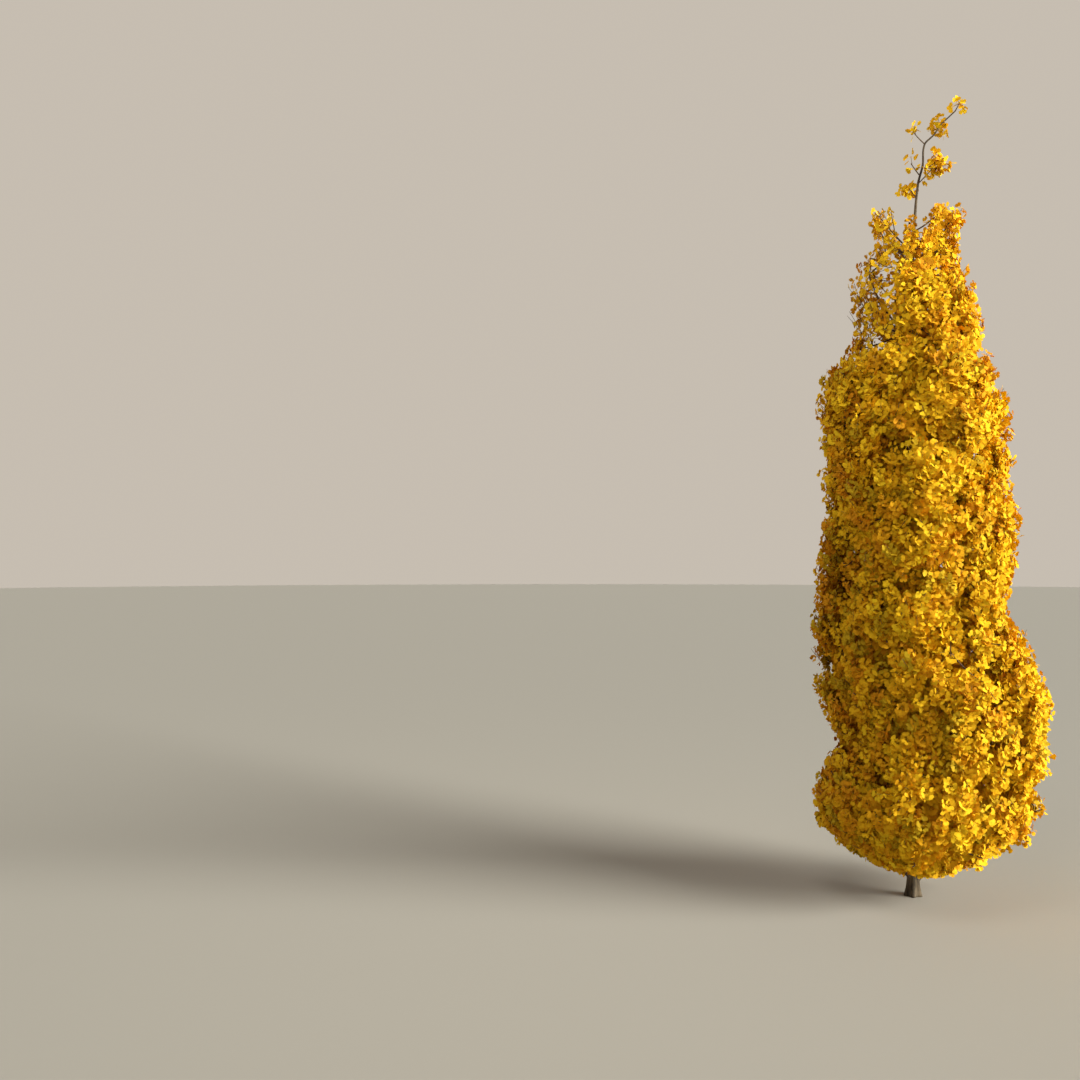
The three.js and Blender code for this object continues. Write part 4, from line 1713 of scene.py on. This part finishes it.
    def build(self) -> None:
        """Makes a piece of each tint's leaves, or several where it has too many for one."""
        leaves = self.arrange()
        turns = quaternions(leaves.across, leaves.along, leaves.face)
        tree = leaf_tree()
        shapes = bpy.data.collections.new("leaf_shapes")
        longest = self.blade[1]
        for number, leaf in enumerate(LEAF_SHAPES):
            shapes.objects.link(leaf.mesh(f"leaf_shape_{number}"))
        nodes = sorted({shoot.mass.name for shoot in self.shoots})
        for number, tint in enumerate(Tint):
            chosen = np.flatnonzero(leaves.tint == number)
            finish = LeafFinish(tint).material()
            for part in range(math.ceil(len(chosen) / self.most)):
                some = chosen[part * self.most : (part + 1) * self.most]
                name = f"leaves_{tint.name.lower()}_{part + 1}"
                base = bpy.data.meshes.new(name)
                base.from_pydata(leaves.root[some].tolist(), [], [])
                for label, kind, values in (
                    ("size", "FLOAT", (leaves.size[some] / longest).astype(np.float32)),
                    ("shape", "INT", leaves.shape[some].astype(np.int32)),
                    ("turn", "QUATERNION", turns[some].astype(np.float32)),
                ):
                    base.attributes.new(label, kind, "POINT").data.foreach_set("value", values.ravel())
                inputs = {"Leaf Shapes": shapes, "Blade Length": longest, "Finish": finish}
                made = grown(name, base, tree, inputs)
                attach(made, "root")
                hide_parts(*nodes)
                LOG.info("%s: %d leaves, %d faces", name, len(some), len(made.data.polygons))
        for leaf in list(shapes.objects):
            bpy.data.objects.remove(leaf)
        bpy.data.collections.remove(shapes)


@dataclass
class Studio:
    """The pale floor, the soft light and the camera at the photograph's viewing angle."""

    floor_radius: float = 60.0
    floor_corners: int = 96
    floor_colour: str = "#BBB7B0"
    floor_roughness: float = 0.9
    camera_at: tuple[float, float, float] = (-1.888, -5.82, 1.727)
    lens: float = 38.33
    sensor_width: float = 36.0
    shift_up: float = 0.013
    sun_azimuth: float = math.radians(-24)
    sun_height: float = math.radians(18)
    sun_softness: float = math.radians(38)
    sun_strength: float = 6.2
    sun_colour: str = "#FFFEF2"
    top_at: tuple[float, float, float] = (-1.6, -2.2, 5.6)
    top_aim: tuple[float, float, float] = (-0.1, 0.0, 3.0)
    top_size: float = 2.4
    top_power: float = 58.0
    top_colour: str = "#FFF4E4"
    # The air is fainter on the camera's side than at the backdrop, and fades overhead
    air_colour: str = "#F2E7D8"
    air_strength: tuple[float, float] = (0.29, 0.64)
    air_turns: tuple[float, float] = (-0.3, 0.5)
    air_overhead: float = 0.20
    air_fades: tuple[float, float] = (0.42, 0.80)

    def floor(self) -> None:
        """Lays a pale, matt floor."""
        angle = np.linspace(0, 2 * math.pi, self.floor_corners, endpoint=False)
        rim = np.stack([np.cos(angle), np.sin(angle), 0 * angle], axis=-1) * self.floor_radius
        made = mesh_object("studio_floor", rim, [tuple(range(self.floor_corners))])
        matt = bpy.data.materials.new("matt_painted_floor")
        matt.use_nodes = True
        paint = matt.node_tree.nodes["Principled BSDF"]
        paint.inputs["Base Color"].default_value = linear(self.floor_colour)
        paint.inputs["Roughness"].default_value = self.floor_roughness
        made.data.materials.append(matt)

    def key(self) -> None:
        """Hangs the wide, warm key light, low on the right and a little towards the camera."""
        lamp = bpy.data.lights.new("soft_key", "SUN")
        lamp.energy, lamp.angle = self.sun_strength, self.sun_softness
        lamp.color = linear(self.sun_colour)[:3]
        made = new_object("soft_key", lamp)
        made.rotation_euler = (math.pi / 2 - self.sun_height, 0, self.sun_azimuth + math.pi / 2)

    def top(self) -> None:
        """Hangs a soft lamp above the tree, nearer to its top than to its foot."""
        lamp = bpy.data.lights.new("soft_top", "AREA")
        lamp.energy, lamp.size, lamp.color = self.top_power, self.top_size, linear(self.top_colour)[:3]
        made = new_object("soft_top", lamp)
        made.location = self.top_at
        way = Vector(self.top_aim) - Vector(self.top_at)
        made.rotation_euler = way.to_track_quat("-Z", "Y").to_euler()
        made.visible_camera = False

    def air(self) -> None:
        """Fills the studio with pale light, brighter from the backdrop and fainter from overhead."""
        world = bpy.data.worlds.new("studio_air")
        world.use_nodes = True
        tree = world.node_tree
        air = tree.nodes["Background"]
        air.inputs["Color"].default_value = linear(self.air_colour)
        place = add_node(tree, "ShaderNodeTexCoord").outputs["Generated"]
        parts = add_node(tree, "ShaderNodeSeparateXYZ", Vector=place)
        strength = add_node(tree, "ShaderNodeMath", {"operation": "MULTIPLY"})
        for number, (axis, (start, end), (first, last)) in enumerate((
            ("Y", self.air_turns, self.air_strength),
            ("Z", self.air_fades, (1.0, self.air_overhead)),
        )):
            share = add_node(
                tree, "ShaderNodeMapRange", {"interpolation_type": "SMOOTHSTEP"}, Value=parts.outputs[axis],
                From_Min=start, From_Max=end, To_Min=first, To_Max=last,
            )
            tree.links.new(share.outputs[0], strength.inputs[number])
        tree.links.new(strength.outputs[0], air.inputs["Strength"])
        bpy.context.scene.world = world

    def camera(self) -> None:
        """Sets the camera where the photograph was taken, level and looking along +Y."""
        view = bpy.data.cameras.new("camera")
        view.lens, view.sensor_width, view.shift_y = self.lens, self.sensor_width, self.shift_up
        camera = new_object("camera", view)
        camera.location = self.camera_at
        camera.rotation_euler = (math.pi / 2, 0, 0)
        bpy.context.scene.camera = camera

    def build(self) -> None:
        """Sets the studio up."""
        self.floor()
        self.key()
        self.top()
        self.air()
        self.camera()
        bpy.context.scene.view_settings.view_transform = "Standard"


def main() -> None:
    """Builds the tree and the studio, and reports each step."""
    logging.basicConfig(level=logging.INFO, format="%(name)s: %(message)s")
    plan = CrownPlan()
    LOG.info("crown: %d masses", len(plan.masses))
    # The trunk's and boughs' bark: its own grey-brown, darkened further as painted shade for the crown's
    # shadow on the trunk
    trunk_bark = BarkFinish(
        "furrowed_ginkgo_bark", ridge="#74654F", furrow="#2E241B",
        furrow_width=12 * MILLIMETRE, bump=1.2 * MILLIMETRE,
    )
    twig_bark = BarkFinish(
        "smooth_young_ginkgo_bark", ridge="#7A6248", furrow="#463629",
        furrow_width=6 * MILLIMETRE, bump=0.4 * MILLIMETRE,
    )
    for made in (Trunk().build(trunk_bark), Boughs(plan.masses).build(trunk_bark)):
        LOG.info("%s: %d faces", made.name, len(made.data.polygons))
    growth = Growth(plan)
    growth.grow()
    LOG.info("growth: %d shoots", len(growth.shoots))
    growth.dress(twig_bark)
    Foliage(growth.shoots).build()
    Studio().build()


if __name__ == "__main__":
    main()
